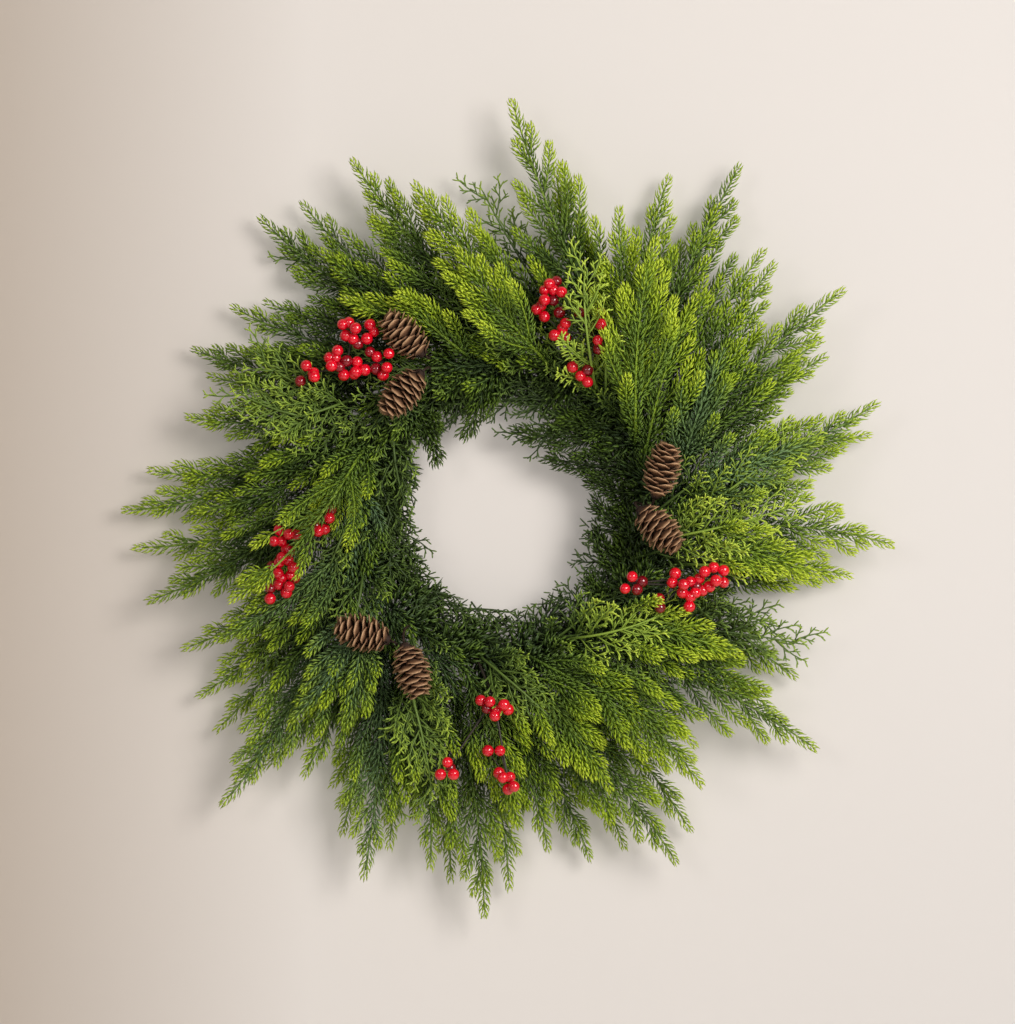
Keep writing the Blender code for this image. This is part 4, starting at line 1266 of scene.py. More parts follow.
@dataclass
class WireForm:
    """The wire ring behind the wreath: two rails, the ties between them and the hanging loop.

    Attributes:
        rings: Steps round each rail.
        sides: Sides of the wire.
        ties: Number of ties between the rails.
        tie_radius: Radius of a tie.
    """

    rings: int = 120
    sides: int = 12
    ties: int = 6
    tie_radius: float = 1.5 * MM

    def ring(self, bm: bmesh.types.BMesh, radius: float, wire: float, height: float,
             steps: int) -> None:
        """Spins a ring of wire with its back on the wall.

        Args:
            bm: The mesh that it is added to.
            radius: Radius of the ring.
            wire: Radius of the wire.
            height: Height of the ring's centre over the middle of the wreath.
            steps: Steps of the spin.
        """
        section = bmesh.ops.create_circle(
            bm, segments=self.sides, radius=wire,
            matrix=Matrix.Translation((radius, -RAIL_FLAT, height)))
        edges = list({edge for vert in section["verts"] for edge in vert.link_edges})
        bmesh.ops.spin(bm, geom=section["verts"] + edges, cent=(0, -RAIL_FLAT, height),
                       axis=(0, 1, 0), angle=2 * PI, steps=steps, use_merge=True)

    def build(self, material: bpy.types.Material) -> bpy.types.Object:
        """Builds the wire form.

        Args:
            material: Finish of the wire.

        Returns:
            The piece, which stands for the solid wire frame.
        """
        piece = Piece("wire_form")
        rails = bmesh.new()
        self.ring(rails, OUTER_RAIL, RAIL_WIRE - 0.1 * MM, 0, self.rings)
        self.ring(rails, INNER_RAIL, RAIL_WIRE - 0.1 * MM, 0, self.rings)
        self.ring(rails, LOOP_RADIUS, LOOP_WIRE, OUTER_RAIL + LOOP_RADIUS, 40)
        for index in range(self.ties):
            angle = 2 * PI * (index + 0.5) / self.ties + 0.02
            outward = Vector((math.cos(angle), 0, math.sin(angle)))
            ends = [outward * radius + FRONT * RAIL_FLAT for radius in (INNER_RAIL, OUTER_RAIL)]
            grow_rod(rails, ends, [self.tie_radius] * 2, 10)
        bmesh.ops.remove_doubles(rails, verts=rails.verts, dist=0.001 * MM)
        piece.add_bmesh(rails, 0.5, 0.0)
        return piece.finish([material], "wire_frame")


@dataclass
class PineMaker:
    """Builds pine sprays: a stem with side twigs, and needles all round them.

    Attributes:
        materials: Finishes of the needles and stems.
        view: What the needles leave in view.
        needle_length: Length of a full-grown needle.
        needle_width: Half the width of a needle.
        young: Length of twig, from its tip, that is still bright.
        taper: Length of twig, from its tip, over which the needles get shorter.
        twig_radius: Radius of a twig at its root and its tip.
        stem_radius: Radius of a stem at its root and its tip.
        needle: The needle's shape, one unit long and wide.
    """

    materials: list[bpy.types.Material]
    view: FrontView
    needle_length: float = 10.4 * MM
    needle_width: float = 0.80 * MM
    young: float = 36 * MM
    taper: float = 17 * MM
    twig_radius: tuple[float, float] = (0.9 * MM, 0.5 * MM)
    stem_radius: tuple[float, float] = (1.5 * MM, 0.7 * MM)
    needle: Shape = field(init=False)

    def __post_init__(self) -> None:
        """Makes the needle: a slim spindle that bows outwards."""
        bm = bmesh.new()
        bmesh.ops.create_circle(bm, segments=3, radius=1.0,
                                matrix=Matrix.Translation((1.3, 0, 0.52)))
        rim = bm.edges[:]
        for height in (0.0, 1.0):
            grown = bmesh.ops.extrude_edge_only(bm, edges=rim)["geom"]
            ends = [item for item in grown if isinstance(item, bmesh.types.BMVert)]
            bmesh.ops.pointmerge(bm, verts=ends, merge_co=(0, 0, height))
        self.needle = Shape.from_bmesh(bm)

    def needles(self, stamps: Stamps, curve: Curve, bare: float, tone: float, fresh: float,
                hue: float, gap: float, coarse: float, rng: random.Random) -> None:
        """Sets needles round a stretch of twig, shorter and closer to it towards the tip.

        Args:
            stamps: Where their places are added.
            curve: The twig.
            bare: Share of the twig without needles.
            tone: How bright the twig is at its root.
            fresh: How much brighter its tip is.
            hue: How bluish it is.
            gap: Distance along the twig from one needle to the next.
            coarse: How much larger than usual the needles are.
            rng: Source of small differences.
        """
        length = curve.length()
        last = 1 - 2.5 * MM / length
        count = max(8, int(length * (last - bare) / gap))
        turn = rng.uniform(0, 2 * PI)
        for index in range(count):
            share = bare + (last - bare) * (index + rng.uniform(-0.3, 0.3)) / (count - 1)
            share = min(max(share, 0.0), last)
            along = curve.along(share)
            turn += GOLDEN_TURN
            across = along.cross(FRONT).normalized()
            around = across * math.cos(turn) + across.cross(along) * math.sin(turn)
            left = (1 - share) * length
            grown = min(1.0, left / self.young)
            full = min(1.0, left / self.taper) ** 0.6
            lean = math.radians(10 + 28 * full + rng.uniform(-5, 5))
            size = self.needle_length * (0.38 + 0.62 * full) * rng.uniform(0.85, 1.1) * coarse
            direction = along * math.cos(lean) + around * math.sin(lean)
            point = curve.point(share)
            brightness = tone + fresh * (1 - grown) ** 0.8 + rng.uniform(-0.06, 0.06)
            # painted shade: each needle's tone is darkened deep in the ring, where shade falls
            stamps.add(point + around * 0.4 * MM, direction, around, size,
                       self.needle_width * coarse,
                       min(max(brightness, 0.02), 1.0) * painted_shade_at(point), hue * grown)

    def more_twigs(self, layout: Skeleton, stem: Curve, shares: tuple[float, ...],
                   rng: random.Random) -> list[Curve]:
        """Adds the side twigs that no solid stands for.

        Args:
            layout: Draws the twigs.
            stem: The stem that they leave.
            shares: Where they leave it.
            rng: Source of small differences.

        Returns:
            The twigs' curves.
        """
        length = stem.length()
        twigs = []
        for share in shares:
            for side in (1, -1):
                start = share + side * 0.025 + rng.uniform(-0.015, 0.015)
                size = length * 0.62 * (1 - start) * rng.uniform(0.85, 1.1)
                size = min(max(size, 15 * MM), 86 * MM)
                angle = layout.habit.angle * rng.uniform(0.75, 1.1)
                twigs.append(layout.twig_curve(stem, start, side, angle, rng.uniform(-0.2, 0.5),
                                               size, rng.uniform(-0.1, 0.25)))
        return twigs

    def build(self, spray: Spray, stem: Curve, twigs: list[Curve], gap: float, seed: int,
              node: str | None, coarse: float = 1.0) -> bpy.types.Object:
        """Builds one spray.

        Args:
            spray: The spray's place and growth.
            stem: The stem's curve.
            twigs: The curves of its side twigs.
            gap: Distance along a twig from one needle to the next.
            seed: Seed of the small differences.
            node: The solid that the spray stands for, or None.
            coarse: How much larger than usual its needles are.

        Returns:
            The finished piece.
        """
        rng = random.Random(seed)
        piece = Piece(spray.name + "_spray")
        wood = bmesh.new()
        thick, thin = self.stem_radius
        points = stem.points(12, 6 * MM)
        if not spray.over:
            points = self.view.before_opening(points)
        grow_rod(wood, points, list(np.linspace(thick, thin, 12))[:len(points)], 5)
        stamps = Stamps()
        tone = 0.14 + 0.28 * spray.fresh
        fresh = 0.20 + 0.56 * spray.fresh
        self.needles(stamps, stem, 0.05, tone, fresh, spray.blue, gap, coarse, rng)
        thick, thin = self.twig_radius
        for twig in twigs if spray.over else self.view.clear(twigs):
            grow_rod(wood, twig.points(6, 5 * MM), list(np.linspace(thick, thin, 6)), 4)
            self.needles(stamps, twig, 0.02, tone + rng.uniform(-0.06, 0.06), fresh,
                         spray.blue * rng.uniform(0.4, 1.2), gap, coarse, rng)
        piece.add_stems(wood, tone + 0.3 * fresh, spray.blue)
        piece.add_stamps(self.needle, stamps, view=None if spray.over else self.view)
        return piece.finish(self.materials, node)


@dataclass
class CedarMaker:
    """Builds cedar sprays: flat fans of branchlets, forked twice and ending in leaves.

    Attributes:
        materials: Finishes of the leaves and stems.
        view: What the leaves leave in view.
        branchlet_gap: Distance along the stem from one branchlet to the next.
        fork_gap: Distance along a branchlet from one fork to the next.
        leaf_gap: Distance along a fork from one leaf to the next.
        leaf_length: Length of a leaf.
        leaf_width: Half the width of a leaf.
        leaf: The leaf's shape, one unit long and wide.
    """

    materials: list[bpy.types.Material]
    view: FrontView
    branchlet_gap: float = 10 * MM
    fork_gap: float = 4.6 * MM
    leaf_gap: float = 4.2 * MM
    leaf_length: float = 6.2 * MM
    leaf_width: float = 0.78 * MM
    leaf: Shape = field(init=False)

    def __post_init__(self) -> None:
        """Makes the leaf: a short rod that swells towards its blunt end."""
        bm = bmesh.new()
        bmesh.ops.create_cone(bm, cap_ends=True, segments=3, radius1=0.75, radius2=0.6,
                              depth=1.0, matrix=Matrix.Translation((0, 0, 0.5)))
        bmesh.ops.bisect_plane(bm, geom=bm.verts[:] + bm.edges[:] + bm.faces[:],
                               plane_co=(0, 0, 0.75), plane_no=(0, 0, 1))
        for vert in bm.verts:
            if 0.6 < vert.co.z < 0.9:
                vert.co.x *= 1.55
                vert.co.y *= 1.55
        self.leaf = Shape.from_bmesh(bm)

    def fork(self, stamps: Stamps, start: Vector, along: Vector, side: Vector, length: float,
             tone: float, rng: random.Random) -> None:
        """Grows one fork: a fine twig with leaves left and right of it.

        Args:
            stamps: Where its leaves' places are added.
            start: Where the fork starts.
            along: Its direction.
            side: Direction across it, in the plane of the fan.
            length: Its length.
            tone: How bright it is.
            rng: Source of small differences.
        """
        normal = along.cross(side).normalized()
        # painted shade: the leaves' tone is darkened deep in the ring, where shade falls
        shade = painted_shade_at(start)
        stamps.add(start, along, normal, length, self.leaf_width * 0.95, (tone + 0.06) * shade, 0.0)
        count = max(2, round(length / self.leaf_gap))
        for index in range(count):
            share = (index + 0.8) / (count + 0.6)
            hand = 1 if index % 2 else -1
            angle = math.radians(38 + rng.uniform(-6, 6))
            direction = along * math.cos(angle) + side * (hand * math.sin(angle))
            direction += normal * rng.uniform(-0.15, 0.15)
            size = self.leaf_length * (1 - 0.3 * share) * rng.uniform(0.85, 1.15)
            stamps.add(start + along * length * share, direction, normal, size, self.leaf_width,
                       min(tone + 0.08 + 0.1 * share, 1.0) * shade, 0.0)

    def branchlet(self, stamps: Stamps, curve: Curve, tone: float, fresh: float,
                  rng: random.Random) -> None:
        """Grows forks left and right along a branchlet.

        Args:
            stamps: Where the leaves' places are added.
            curve: The branchlet.
            tone: How bright it is at its root.
            fresh: How much brighter its tip is.
            rng: Source of small differences.
        """
        length = curve.length()
        count = max(3, int(length / self.fork_gap))
        for index in range(count):
            share = 0.12 + 0.88 * index / (count - 1)
            along = curve.along(share)
            side = along.cross(FRONT).normalized()
            facing = side.cross(along)
            side = (side + facing * rng.uniform(-0.25, 0.25)).normalized()
            hand = 1 if index % 2 else -1
            angle = math.radians(40 + rng.uniform(-6, 6)) * (1 - share * 0.25)
            direction = along * math.cos(angle) + side * (hand * math.sin(angle))
            if index == count - 1:
                direction = along
            size = (6.5 + 9 * (1 - share)) * MM * min(1.0, 0.4 + length / (50 * MM))
            self.fork(stamps, curve.point(share), direction, side, size,
                      min(tone + fresh * share, 1.0), rng)

    def build(self, spray: Spray, layout: Skeleton, stem: Curve, twigs: list[Curve], seed: int,
              node: str | None) -> bpy.types.Object:
        """Builds one spray.

        Args:
            spray: The spray's place and growth.
            layout: Draws the branchlets that are added.
            stem: The stem's curve.
            twigs: The curves of the branchlets that the solid has.
            seed: Seed of the small differences.
            node: The solid that the spray stands for, or None.

        Returns:
            The finished piece.
        """
        rng = random.Random(seed)
        piece = Piece(spray.name + "_fan")
        wood = bmesh.new()
        points = stem.points(10)
        if not spray.over:
            points = self.view.before_opening(points)
        grow_rod(wood, points, list(np.linspace(1.5 * MM, 0.6 * MM, 10))[:len(points)], 5)
        length = stem.length()
        count = int(length * 0.76 / self.branchlet_gap)
        branchlets = list(twigs)
        for index in range(count):
            share = 0.22 + 0.74 * index / (count - 1)
            size = layout.twig_length(length, share) * rng.uniform(0.8, 1.1)
            side = 1 if index % 2 else -1
            branchlets.append(layout.twig_curve(
                stem, share, side, layout.habit.angle * rng.uniform(0.85, 1.15),
                rng.uniform(-0.3, 0.4), max(size, 16 * MM)))
        stamps = Stamps()
        tone = 0.12 + 0.36 * spray.fresh
        fresh = 0.10 + 0.42 * spray.fresh
        for twig in branchlets if spray.over else self.view.clear(branchlets):
            grow_rod(wood, twig.points(5), list(np.linspace(0.8 * MM, 0.45 * MM, 5)), 4)
            self.branchlet(stamps, twig, tone + rng.uniform(-0.05, 0.05), fresh, rng)
        tip = Curve(*[stem.core_point(60, share) for share in (0.55, 0.7, 0.85, 1.0)])
        self.branchlet(stamps, tip, tone, fresh * 1.2, rng)
        piece.add_stems(wood, tone + 0.3 * fresh, 0.0)
        piece.add_stamps(self.leaf, stamps, view=None if spray.over else self.view)
        return piece.finish(self.materials, node)


@dataclass
class ConeMaker:
    """Builds cones: woody scales in a spiral round a dark core, on a wire.

    Attributes:
        materials: Finish of the scales.
        length: Length of a cone.
        radius: Its radius over the scales.
        scales: Number of scales.
        depth: How far a cone's base is in front of the wall.
        rise: How much farther from the wall its tip is.
        scale_length: Length of the largest scale.
        scale_width: Width of the largest scale.
        lean: Angle between a scale at the base and the cone's axis, in degrees.
        scale: The scale's shape, one unit long and wide.
    """

    materials: list[bpy.types.Material]
    length: float = 50 * MM
    radius: float = 13.5 * MM
    scales: int = 48
    depth: float = 72 * MM
    rise: float = 6 * MM
    scale_length: float = 14 * MM
    scale_width: float = 14.5 * MM
    lean: float = 43
    scale: Shape = field(init=False)

    def __post_init__(self) -> None:
        """Makes the scale: a thin cupped plate with a rounded, slightly turned out edge."""
        bm = bmesh.new()
        bmesh.ops.create_grid(bm, x_segments=4, y_segments=3, size=0.5,
                              matrix=Matrix.Translation((0, 0.5, 0)))
        for vert in bm.verts:
            half = vert.co.x * 2
            share = vert.co.y
            width = 0.3 + 0.7 * math.sin(PI / 2 * min(1.0, share / 0.65))
            cup = 0.16 * half * half * width
            lip = 0.12 * max(0.0, share - 0.6) / 0.4
            reach = share * (1 - 0.34 * abs(half) ** 3 * share)
            vert.co = Vector((0.12 * share * share - cup + lip, half * 0.5 * width, reach))
        bmesh.ops.solidify(bm, geom=bm.faces[:], thickness=0.11)
        self.scale = Shape.from_bmesh(bm)

    def profile(self, share: float) -> float:
        """Returns the cone's radius over its scales, from 0 at the stalk to 1 at the tip."""
        return self.radius * math.sin(PI * (0.2 + 0.7 * share)) ** 0.75

    def build(self, cone: ConePlace, seed: int) -> bpy.types.Object:
        """Builds one cone.

        Args:
            cone: The cone's place.
            seed: Seed of the small differences.

        Returns:
            The finished piece, which stands for the solid cone.
        """
        rng = random.Random(seed)
        base = place(cone.base, self.depth)
        tip = place(cone.tip, self.depth + self.rise)
        axis = (tip - base).normalized()
        here = turn_to(axis)
        side = (here @ Vector((1, 0, 0))).normalized()
        up = axis.cross(side)
        piece = Piece(cone.name + "_scales")
        core = bmesh.new()
        shares = [step / 9 for step in range(10)]
        grow_rod(core, [base + axis * self.length * (0.04 + 0.8 * share) for share in shares],
                 [self.profile(share) * 0.42 for share in shares], 10)
        root = seat_on_rail(cone.base)
        wire = Curve(root, root + FRONT * 30 * MM, base - axis * 16 * MM, base + axis * 6 * MM)
        grow_rod(core, wire.points(10), [1.0 * MM] * 10, 6)
        piece.add_bmesh(core, 0.2, 0.0)
        stamps = Stamps()
        turn = rng.uniform(0, 2 * PI)
        for index in range(self.scales):
            share = index / (self.scales - 1)
            turn += GOLDEN_TURN
            around = side * math.cos(turn) + up * math.sin(turn)
            radius = self.profile(share)
            lean = math.radians(self.lean - 6 * share + rng.uniform(-4, 4))
            size = self.scale_length * (0.5 + 0.5 * radius / self.radius)
            start = base + axis * (self.length * (0.02 + 0.8 * share))
            start += around * max(radius - size * math.sin(lean), 0.6 * MM)
            direction = axis * math.cos(lean) + around * math.sin(lean)
            width = self.scale_width * (0.45 + 0.55 * radius / self.radius)
            stamps.add(start, direction, around, size, width * rng.uniform(0.92, 1.08),
                       rng.uniform(0.3, 0.7), 0.0)
        piece.add_stamps(self.scale, stamps)
        return piece.finish(self.materials, cone.name)


@dataclass
class BerryMaker:
    """Builds berry picks: dark wire stems and lacquered berries on stalks.

    Attributes:
        materials: Finishes of the berries and of the wire.
        radius: Radius of a berry.
        stalk: Radius of a stalk.
        stalk_length: Length of a stalk.
        pick_radius: Radius of the main stem.
        hub_depth: How far in front of the wall the side stems end.
        berry: The berry's shape, of one unit's radius.
    """

    materials: list[bpy.types.Material]
    radius: float = 4.6 * MM
    stalk: float = 0.45 * MM
    stalk_length: float = 11 * MM
    pick_radius: float = 1.0 * MM
    hub_depth: float = 68 * MM
    berry: Shape = field(init=False)

    def __post_init__(self) -> None:
        """Makes the berry: a ball with a small dimple at its far end."""
        bm = bmesh.new()
        bmesh.ops.create_uvsphere(bm, u_segments=16, v_segments=11, radius=1.0)
        for vert in bm.verts:
            near = max(0.0, vert.co.z - 0.95) / 0.05
            vert.co.z -= 0.07 * near
        self.berry = Shape.from_bmesh(bm)

    def build(self, pick: PickPlace, seed: int) -> bpy.types.Object:
        """Builds one pick.

        Args:
            pick: The pick's place and berries.
            seed: Seed of the small differences.

        Returns:
            The finished piece, which stands for the solid pick.
        """
        rng = random.Random(seed)
        piece = Piece(pick.name + "_bunch")
        root = seat_on_rail(pick.root)
        hubs = [place(hub, self.hub_depth) for hub in pick.hubs]
        start = min(hubs, key=lambda hub: (hub - root).length)
        wire = bmesh.new()
        stem = Curve(root, root + FRONT * 44.4 * MM, start - FRONT * 14 * MM, start)
        grow_rod(wire, stem.points(12), [self.pick_radius] * 12, 6)
        fork = stem.point(0.75)
        for hub in hubs:
            if hub is start:
                continue
            branch = Curve(fork, fork.lerp(hub, 0.3), hub - FRONT * 8 * MM, hub)
            grow_rod(wire, branch.points(10), [self.pick_radius * 0.9] * 10, 6)
        berries = Stamps()
        rows = ((pick.berries, 0.96, 1.0), (pick.more, 0.9, 0.35), (pick.deep, 0.3, 0.3))
        for spots, tone, rise in rows:
            for spot in spots:
                flat = place(spot, self.hub_depth)
                hub = min(hubs, key=lambda one: (one - flat).length)
                away = (hub - flat).length_squared
                lift = math.sqrt(max(self.stalk_length**2 - away, (3 * MM) ** 2)) * rise
                centre = flat + FRONT * lift
                bend = hub.lerp(centre, 0.5) + Vector((0, 0, 1 * MM))
                grow_rod(wire, [hub, bend, centre], [self.stalk] * 3, 4)
                tip = (centre - hub).normalized() + Vector(
                    (rng.uniform(-0.4, 0.4), -0.2, rng.uniform(-0.4, 0.4)))
                size = self.radius * rng.uniform(0.92, 1.05)
                berries.add(centre, tip, Vector((0, 0, 1)), size, size,
                            tone + rng.uniform(-0.15, 0.05), 0.0)
        piece.add_bmesh(wire, 0.4, 0.0, slot=1)
        piece.add_stamps(self.berry, berries)
        return piece.finish(self.materials, pick.name)


@dataclass
class Studio:
    """The wall, the floor, the lights and the camera.

    Attributes:
        wall_left_painted_shade: Colour of the wall at the left edge of the picture, darkened there
            as painted shade where the key light falls off.
        wall_middle_painted_light: Its colour past the darker left side, lighter than at the right
            edge as painted light against the shadow cast in the opening.
        wall_right: Its colour at the right edge.
        wall_middle_share: Where the middle colour is, as a share of the picture's width.
        floor_drop: How far the floor is below the hook.
        camera_distance: Distance from the camera to the middle of the wreath's depth.
        wreath_depth: Distance of that middle from the wall.
        picture_middle: The picture's middle, in the front view.
        picture_height: Height of the picture at the middle of the wreath's depth.
    """

    wall_left_painted_shade: tuple[float, float, float] = (0.485, 0.419, 0.361)
    wall_middle_painted_light: tuple[float, float, float] = (0.675, 0.63, 0.595)
    wall_right: tuple[float, float, float] = (0.614, 0.58, 0.557)
    wall_middle_share: float = 0.3
    floor_drop: float = 1.4
    camera_distance: float = 4.0
    wreath_depth: float = 0.04
    picture_middle: tuple[float, float] = (507.5, 512)
    picture_height: float = 1024 * GRID

    def plain(self, name: str, colour: tuple[float, float, float]) -> bpy.types.Material:
        """Makes a matte material of one colour.

        Args:
            name: Name of the material.
            colour: The colour.

        Returns:
            The material.
        """
        material = bpy.data.materials.new(name)
        material.use_nodes = True
        shader = shader_of(material)
        shader.inputs["Base Color"].default_value = (*colour, 1.0)
        shader.inputs["Roughness"].default_value = 0.95
        shader.inputs["Specular IOR Level"].default_value = 0.1
        return material

    def wall(self) -> None:
        """Builds the wall behind the wreath, which isn't seen from its back. Its colour holds
        painted light: darker to the left where the key light falls off, lighter in the middle
        against the shadow in the opening, and a faint glow that lightens the shadows cast on it.
        """
        bpy.ops.mesh.primitive_plane_add(size=9, location=(0, 1 * MM, 0),
                                         rotation=(PI / 2, 0, 0))
        wall = bpy.context.object
        wall.name = "wall"
        material = self.plain("wall_paint_and_painted_light", self.wall_right)
        nodes = material.node_tree.nodes
        links = material.node_tree.links
        shader = shader_of(material)
        place_on = nodes.new("ShaderNodeTexCoord")
        across = nodes.new("ShaderNodeSeparateXYZ")
        links.new(place_on.outputs["Object"], across.inputs["Vector"])
        # painted light: the wall's colour is graded across the picture, darker to the left where
        # the key light falls off and lighter in the middle against the shadow in the opening
        spread = nodes.new("ShaderNodeMapRange")
        spread.inputs["From Min"].default_value = -0.40
        spread.inputs["From Max"].default_value = 0.42
        links.new(across.outputs["X"], spread.inputs["Value"])
        tint = nodes.new("ShaderNodeValToRGB")
        elements = tint.color_ramp.elements
        elements.new(self.wall_middle_share)
        for element, colour in zip(elements, (self.wall_left_painted_shade, self.wall_middle_painted_light, self.wall_right)):
            element.color = (*colour, 1.0)
        links.new(spread.outputs["Result"], tint.inputs["Fac"])
        links.new(tint.outputs["Color"], shader.inputs["Base Color"])
        # painted light: the wall glows a little with its own colour, which lightens the shadows
        # cast on it
        links.new(tint.outputs["Color"], shader.inputs["Emission Color"])
        shader.inputs["Emission Strength"].default_value = 0.2
        clear = nodes.new("ShaderNodeBsdfTransparent")
        side = nodes.new("ShaderNodeNewGeometry")
        mix = nodes.new("ShaderNodeMixShader")
        links.new(side.outputs["Backfacing"], mix.inputs["Fac"])
        links.new(shader_of(material).outputs["BSDF"], mix.inputs[1])
        links.new(clear.outputs["BSDF"], mix.inputs[2])
        links.new(mix.outputs["Shader"], nodes["Material Output"].inputs["Surface"])
        wall.data.materials.append(material)
        wall.visible_shadow = False

    def floor(self) -> None:
        """Builds a plain pale floor, well below the picture."""
        bpy.ops.mesh.primitive_plane_add(size=9, location=(0, 0, -self.floor_drop))
        floor = bpy.context.object
        floor.name = "floor"
        floor.data.materials.append(self.plain("floor_paint", (0.78, 0.76, 0.73)))

    def lamp(self, name: str, spot: tuple[float, float, float], size: float, power: float,
             colour: tuple[float, float, float]) -> None:
        """Adds a square soft light that points at the wreath.

        Args:
            name: Name of the light.
            spot: Where it stands.
            size: Its size.
            power: Its power.
            colour: Its colour.
        """
        data = bpy.data.lights.new(name, "AREA")
        data.size = size
        data.energy = power
        data.color = colour
        lamp = bpy.data.objects.new(name, data)
        lamp.location = spot
        aim = RING_CENTRE - lamp.location
        lamp.rotation_mode = "QUATERNION"
        lamp.rotation_quaternion = aim.to_track_quat("-Z", "Y")
        bpy.context.scene.collection.objects.link(lamp)

    def camera(self) -> None:
        """Adds the camera, straight in front of the picture's middle."""
        middle = place(self.picture_middle, self.wreath_depth) + RING_CENTRE
        data = bpy.data.cameras.new("camera")
        data.sensor_width = 36
        data.lens = data.sensor_width * self.camera_distance / self.picture_height
        camera = bpy.data.objects.new("camera", data)
        camera.location = middle + FRONT * self.camera_distance
        camera.rotation_euler = (PI / 2, 0, 0)
        bpy.context.scene.collection.objects.link(camera)
        bpy.context.scene.camera = camera

    def build(self) -> None:
        """Builds the whole studio."""
        self.wall()
        self.floor()
        self.lamp("key", (1.25, -1.85, 0.45), 1.1, 43, (1.0, 0.975, 0.94))
        self.lamp("side", (-1.6, -2.6, 0.6), 0.8, 11, (1.0, 0.985, 0.96))
        self.lamp("fill", (0.3, -3.2, 0.1), 2.8, 9, (1.0, 0.97, 0.94))
        self.lamp("behind", (0.3, 2.2, 0.6), 2.0, 14, (1.0, 0.98, 0.96))
        world = bpy.data.worlds.new("room")
        world.use_nodes = True
        sky = world.node_tree.nodes["Background"]
        sky.inputs["Color"].default_value = (1.0, 0.97, 0.94, 1.0)
        sky.inputs["Strength"].default_value = 0.16
        bpy.context.scene.world = world
        bpy.context.scene.view_settings.view_transform = "Standard"
        self.camera()


@dataclass(frozen=True)
class RingRow:
    """A row of sprays all round the ring, laid by rule.

    Attributes:
        name: Start of the sprays' names.
        count: Number of sprays.
        start: Radius at which they start, in the front view's steps.
        length: Their length, in the front view's steps.
        turn: How much more than the wreath's swirl they turn, in degrees.
        layer: How far in front of the wall they lie.
        fresh: How bright their new growth is.
        depth: How much farther from the wall than their layer they lie.
        coarse: How much larger than usual their needles are.
    """

    name: str
    count: int
    start: float
    length: float
    turn: float
    layer: Layer
    fresh: float
    depth: float = 0.0
    coarse: float = 1.0

    def sprays(self) -> list[Spray]:
        """Lays the row out, turned counter-clockwise as the wreath's sprays are.

        Returns:
            The row's sprays.
        """
        rng = random.Random(self.name)
        sprays = []
        for index in range(self.count):
            angle = 2 * PI * (index + rng.uniform(-0.25, 0.25)) / self.count
            swirl = 8 + 22.5 * (1 + math.cos(angle - math.radians(135)))
            heading = angle + math.radians(swirl + self.turn + rng.uniform(-9, 9))
            length = self.length * rng.uniform(0.85, 1.15)
            root = (CENTRE[0] + self.start * math.cos(angle),
                    CENTRE[1] - self.start * math.sin(angle))
            tip = (root[0] + length * math.cos(heading), root[1] - length * math.sin(heading))
            sprays.append(Spray(f"{self.name}_{index + 1:02d}", root, tip, self.layer,
                                rng.uniform(0.0, 0.06), self.fresh * rng.uniform(0.7, 1.3),
                                rng.uniform(0.0, 0.25)))
        return sprays


PINE_ROWS = [
    RingRow("under_pine", 20, 165, 128, 0, Layer.BACK, 0.25, 0.0, 1.2),
    RingRow("inner_pine", 18, 140, 112, 42, Layer.MIDDLE, 0.22, -4 * MM, 1.15),
    # dark_pine and dark_inner_pine have no bright new growth: partly real foliage that fills the
    # ring, partly painted shade that keeps its inside dark
    RingRow("dark_pine", 18, 150, 92, 80, Layer.LOWEST, 0.0, 0.0, 1.7),
    RingRow("dark_inner_pine", 16, 172, 88, 130, Layer.BACK, 0.0, 4 * MM, 1.6),
]
CEDAR_ROWS = [
    RingRow("edge_cedar", 20, 146, 56, 104, Layer.EDGE, 0.14),
    RingRow("ring_cedar", 14, 150, 92, 24, Layer.MIDDLE, 0.4, 12 * MM),
    RingRow("low_cedar", 12, 140, 84, 66, Layer.BACK, 0.2),
]


def keep_cones_in_view(view: FrontView, room: Room, cones: ConeMaker) -> None:
    """Takes the cones' room, as their solids have it, and keeps them in view.

    Args:
        view: What the foliage leaves in view.
        room: The room that is taken.
        cones: The cones' sizes.
    """
    for cone in CONES:
        base = place(cone.base, cones.depth)
        tip = place(cone.tip, cones.depth - 4 * MM)
        axis = (tip - base).normalized()
        for step in range(12):
            share = step / 11
            centre = base + axis * cones.length * share
            room.add([centre], [cones.profile(share) + 1.5 * MM])
            view.keep(centre, cones.profile(share) * 0.97)
        root = seat_on_rail(cone.base)
        wire = Curve(root, root + FRONT * 30 * MM, base - axis * 16 * MM, base + axis * 6 * MM)
        room.add(wire.points(5), [1.1 * MM] * 5)


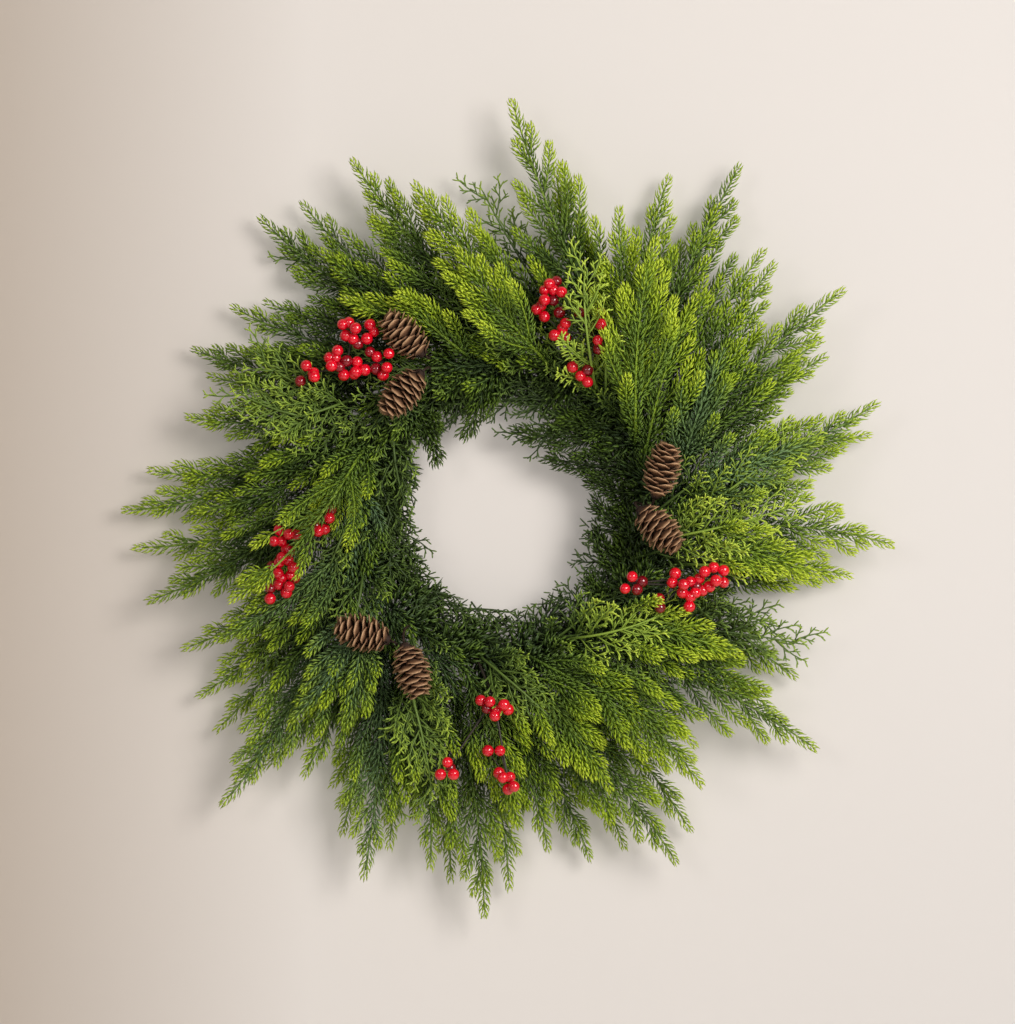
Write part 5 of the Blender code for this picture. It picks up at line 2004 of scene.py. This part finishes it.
def keep_berries_in_view(view: FrontView, room: Room, berries: BerryMaker) -> None:
    """Takes the berry picks' room, as their solids have it, and keeps their berries in view.

    Args:
        view: What the foliage leaves in view.
        room: The room that is taken.
        berries: The sizes of stems and berries.
    """
    for pick in PICKS:
        root = seat_on_rail(pick.root)
        hubs = [place(hub, berries.hub_depth) for hub in pick.hubs]
        start = min(hubs, key=lambda hub: (hub - root).length)
        stem = Curve(root, root + FRONT * 44.4 * MM, start - FRONT * 14 * MM, start)
        points = stem.points(5)
        taken = points[1:]
        radii = [1.1 * MM] * 4
        fork = points[-2]
        for hub in hubs:
            if hub is start:
                continue
            steps = max(2, int((hub - fork).length / (3 * MM)))
            branch = Curve(fork, fork.lerp(hub, 0.3), hub - FRONT * 8 * MM, hub)
            taken += branch.points(steps)
            radii += [1.1 * MM] * steps
        for spot in pick.berries:
            flat = place(spot, berries.hub_depth)
            hub = min(hubs, key=lambda one: (one - flat).length)
            away = (hub - flat).length_squared
            lift = math.sqrt(max(berries.stalk_length**2 - away, (3 * MM) ** 2))
            centre = flat + FRONT * lift
            taken += [centre, hub.lerp(centre, 0.4)]
            radii += [4 * MM, 0.75 * MM]
            view.keep(centre, berries.radius * 0.95)
        for spot in pick.more:
            view.keep(place(spot, berries.hub_depth + 3 * MM), berries.radius * 0.75)
        room.add(taken, radii)


def main() -> None:
    """Builds the dressed wreath and its studio, in order."""
    logging.basicConfig(level=logging.INFO, format="%(message)s")
    Studio().build()
    log.info("studio ready")

    wire = WireFinish("ring_wire", (0.018, 0.045, 0.018), (0.045, 0.08, 0.04), 0.45, 0.3).make()
    stem_wire = WireFinish("pick_wire", (0.02, 0.016, 0.012), (0.05, 0.035, 0.025), 0.5).make()
    WireForm().build(wire)
    room = Room()
    view = FrontView()
    cones = ConeMaker([ScaleFinish().make()])
    berries = BerryMaker([BerryFinish().make(), stem_wire])
    keep_cones_in_view(view, room, cones)
    keep_berries_in_view(view, room, berries)
    for seed, cone in enumerate(CONES):
        cones.build(cone, seed)
    for seed, pick in enumerate(PICKS):
        berries.build(pick, seed)

    pine = PineMaker([PINE_FINISH.make()], view)
    cedar = CedarMaker([CEDAR_FINISH.make()], view)
    pine_layout = Skeleton(PINE_HABIT)
    cedar_layout = Skeleton(CEDAR_HABIT)
    for seed, spray in enumerate(PINE_SPRAYS):
        stem, twigs = pine_layout.lay(room, spray)
        rng = random.Random(100 + seed)
        twigs += pine.more_twigs(pine_layout, stem, (0.34, 0.6, 0.82), rng)
        pine.build(spray, stem, twigs, 0.62 * MM, seed, spray.name)
    for seed, spray in enumerate(CEDAR_SPRAYS):
        stem, twigs = cedar_layout.lay(room, spray)
        cedar.build(spray, cedar_layout, stem, twigs, 900 + seed, spray.name)
    under = [(spray, row.depth, 0.9 * MM * row.coarse, row.coarse)
             for row in PINE_ROWS for spray in row.sprays()]
    loose = [(spray, 0.0, 0.7 * MM, 1.0) for spray in MORE_PINES] + under
    for seed, (spray, depth, gap, coarse) in enumerate(loose):
        stem = pine_layout.lay_freely(spray, depth)
        rng = random.Random(2000 + seed)
        twigs = pine.more_twigs(pine_layout, stem, (0.26, 0.44, 0.62, 0.8), rng)
        pine.build(spray, stem, twigs, gap, 2000 + seed, None, coarse)
    low = [(spray, row.depth) for row in CEDAR_ROWS for spray in row.sprays()]
    for seed, (spray, depth) in enumerate([(spray, 0.0) for spray in MORE_CEDARS] + low):
        stem = cedar_layout.lay_freely(spray, depth)
        cedar.build(spray, cedar_layout, stem, [], 3000 + seed, None)


if __name__ == "__main__":
    main()
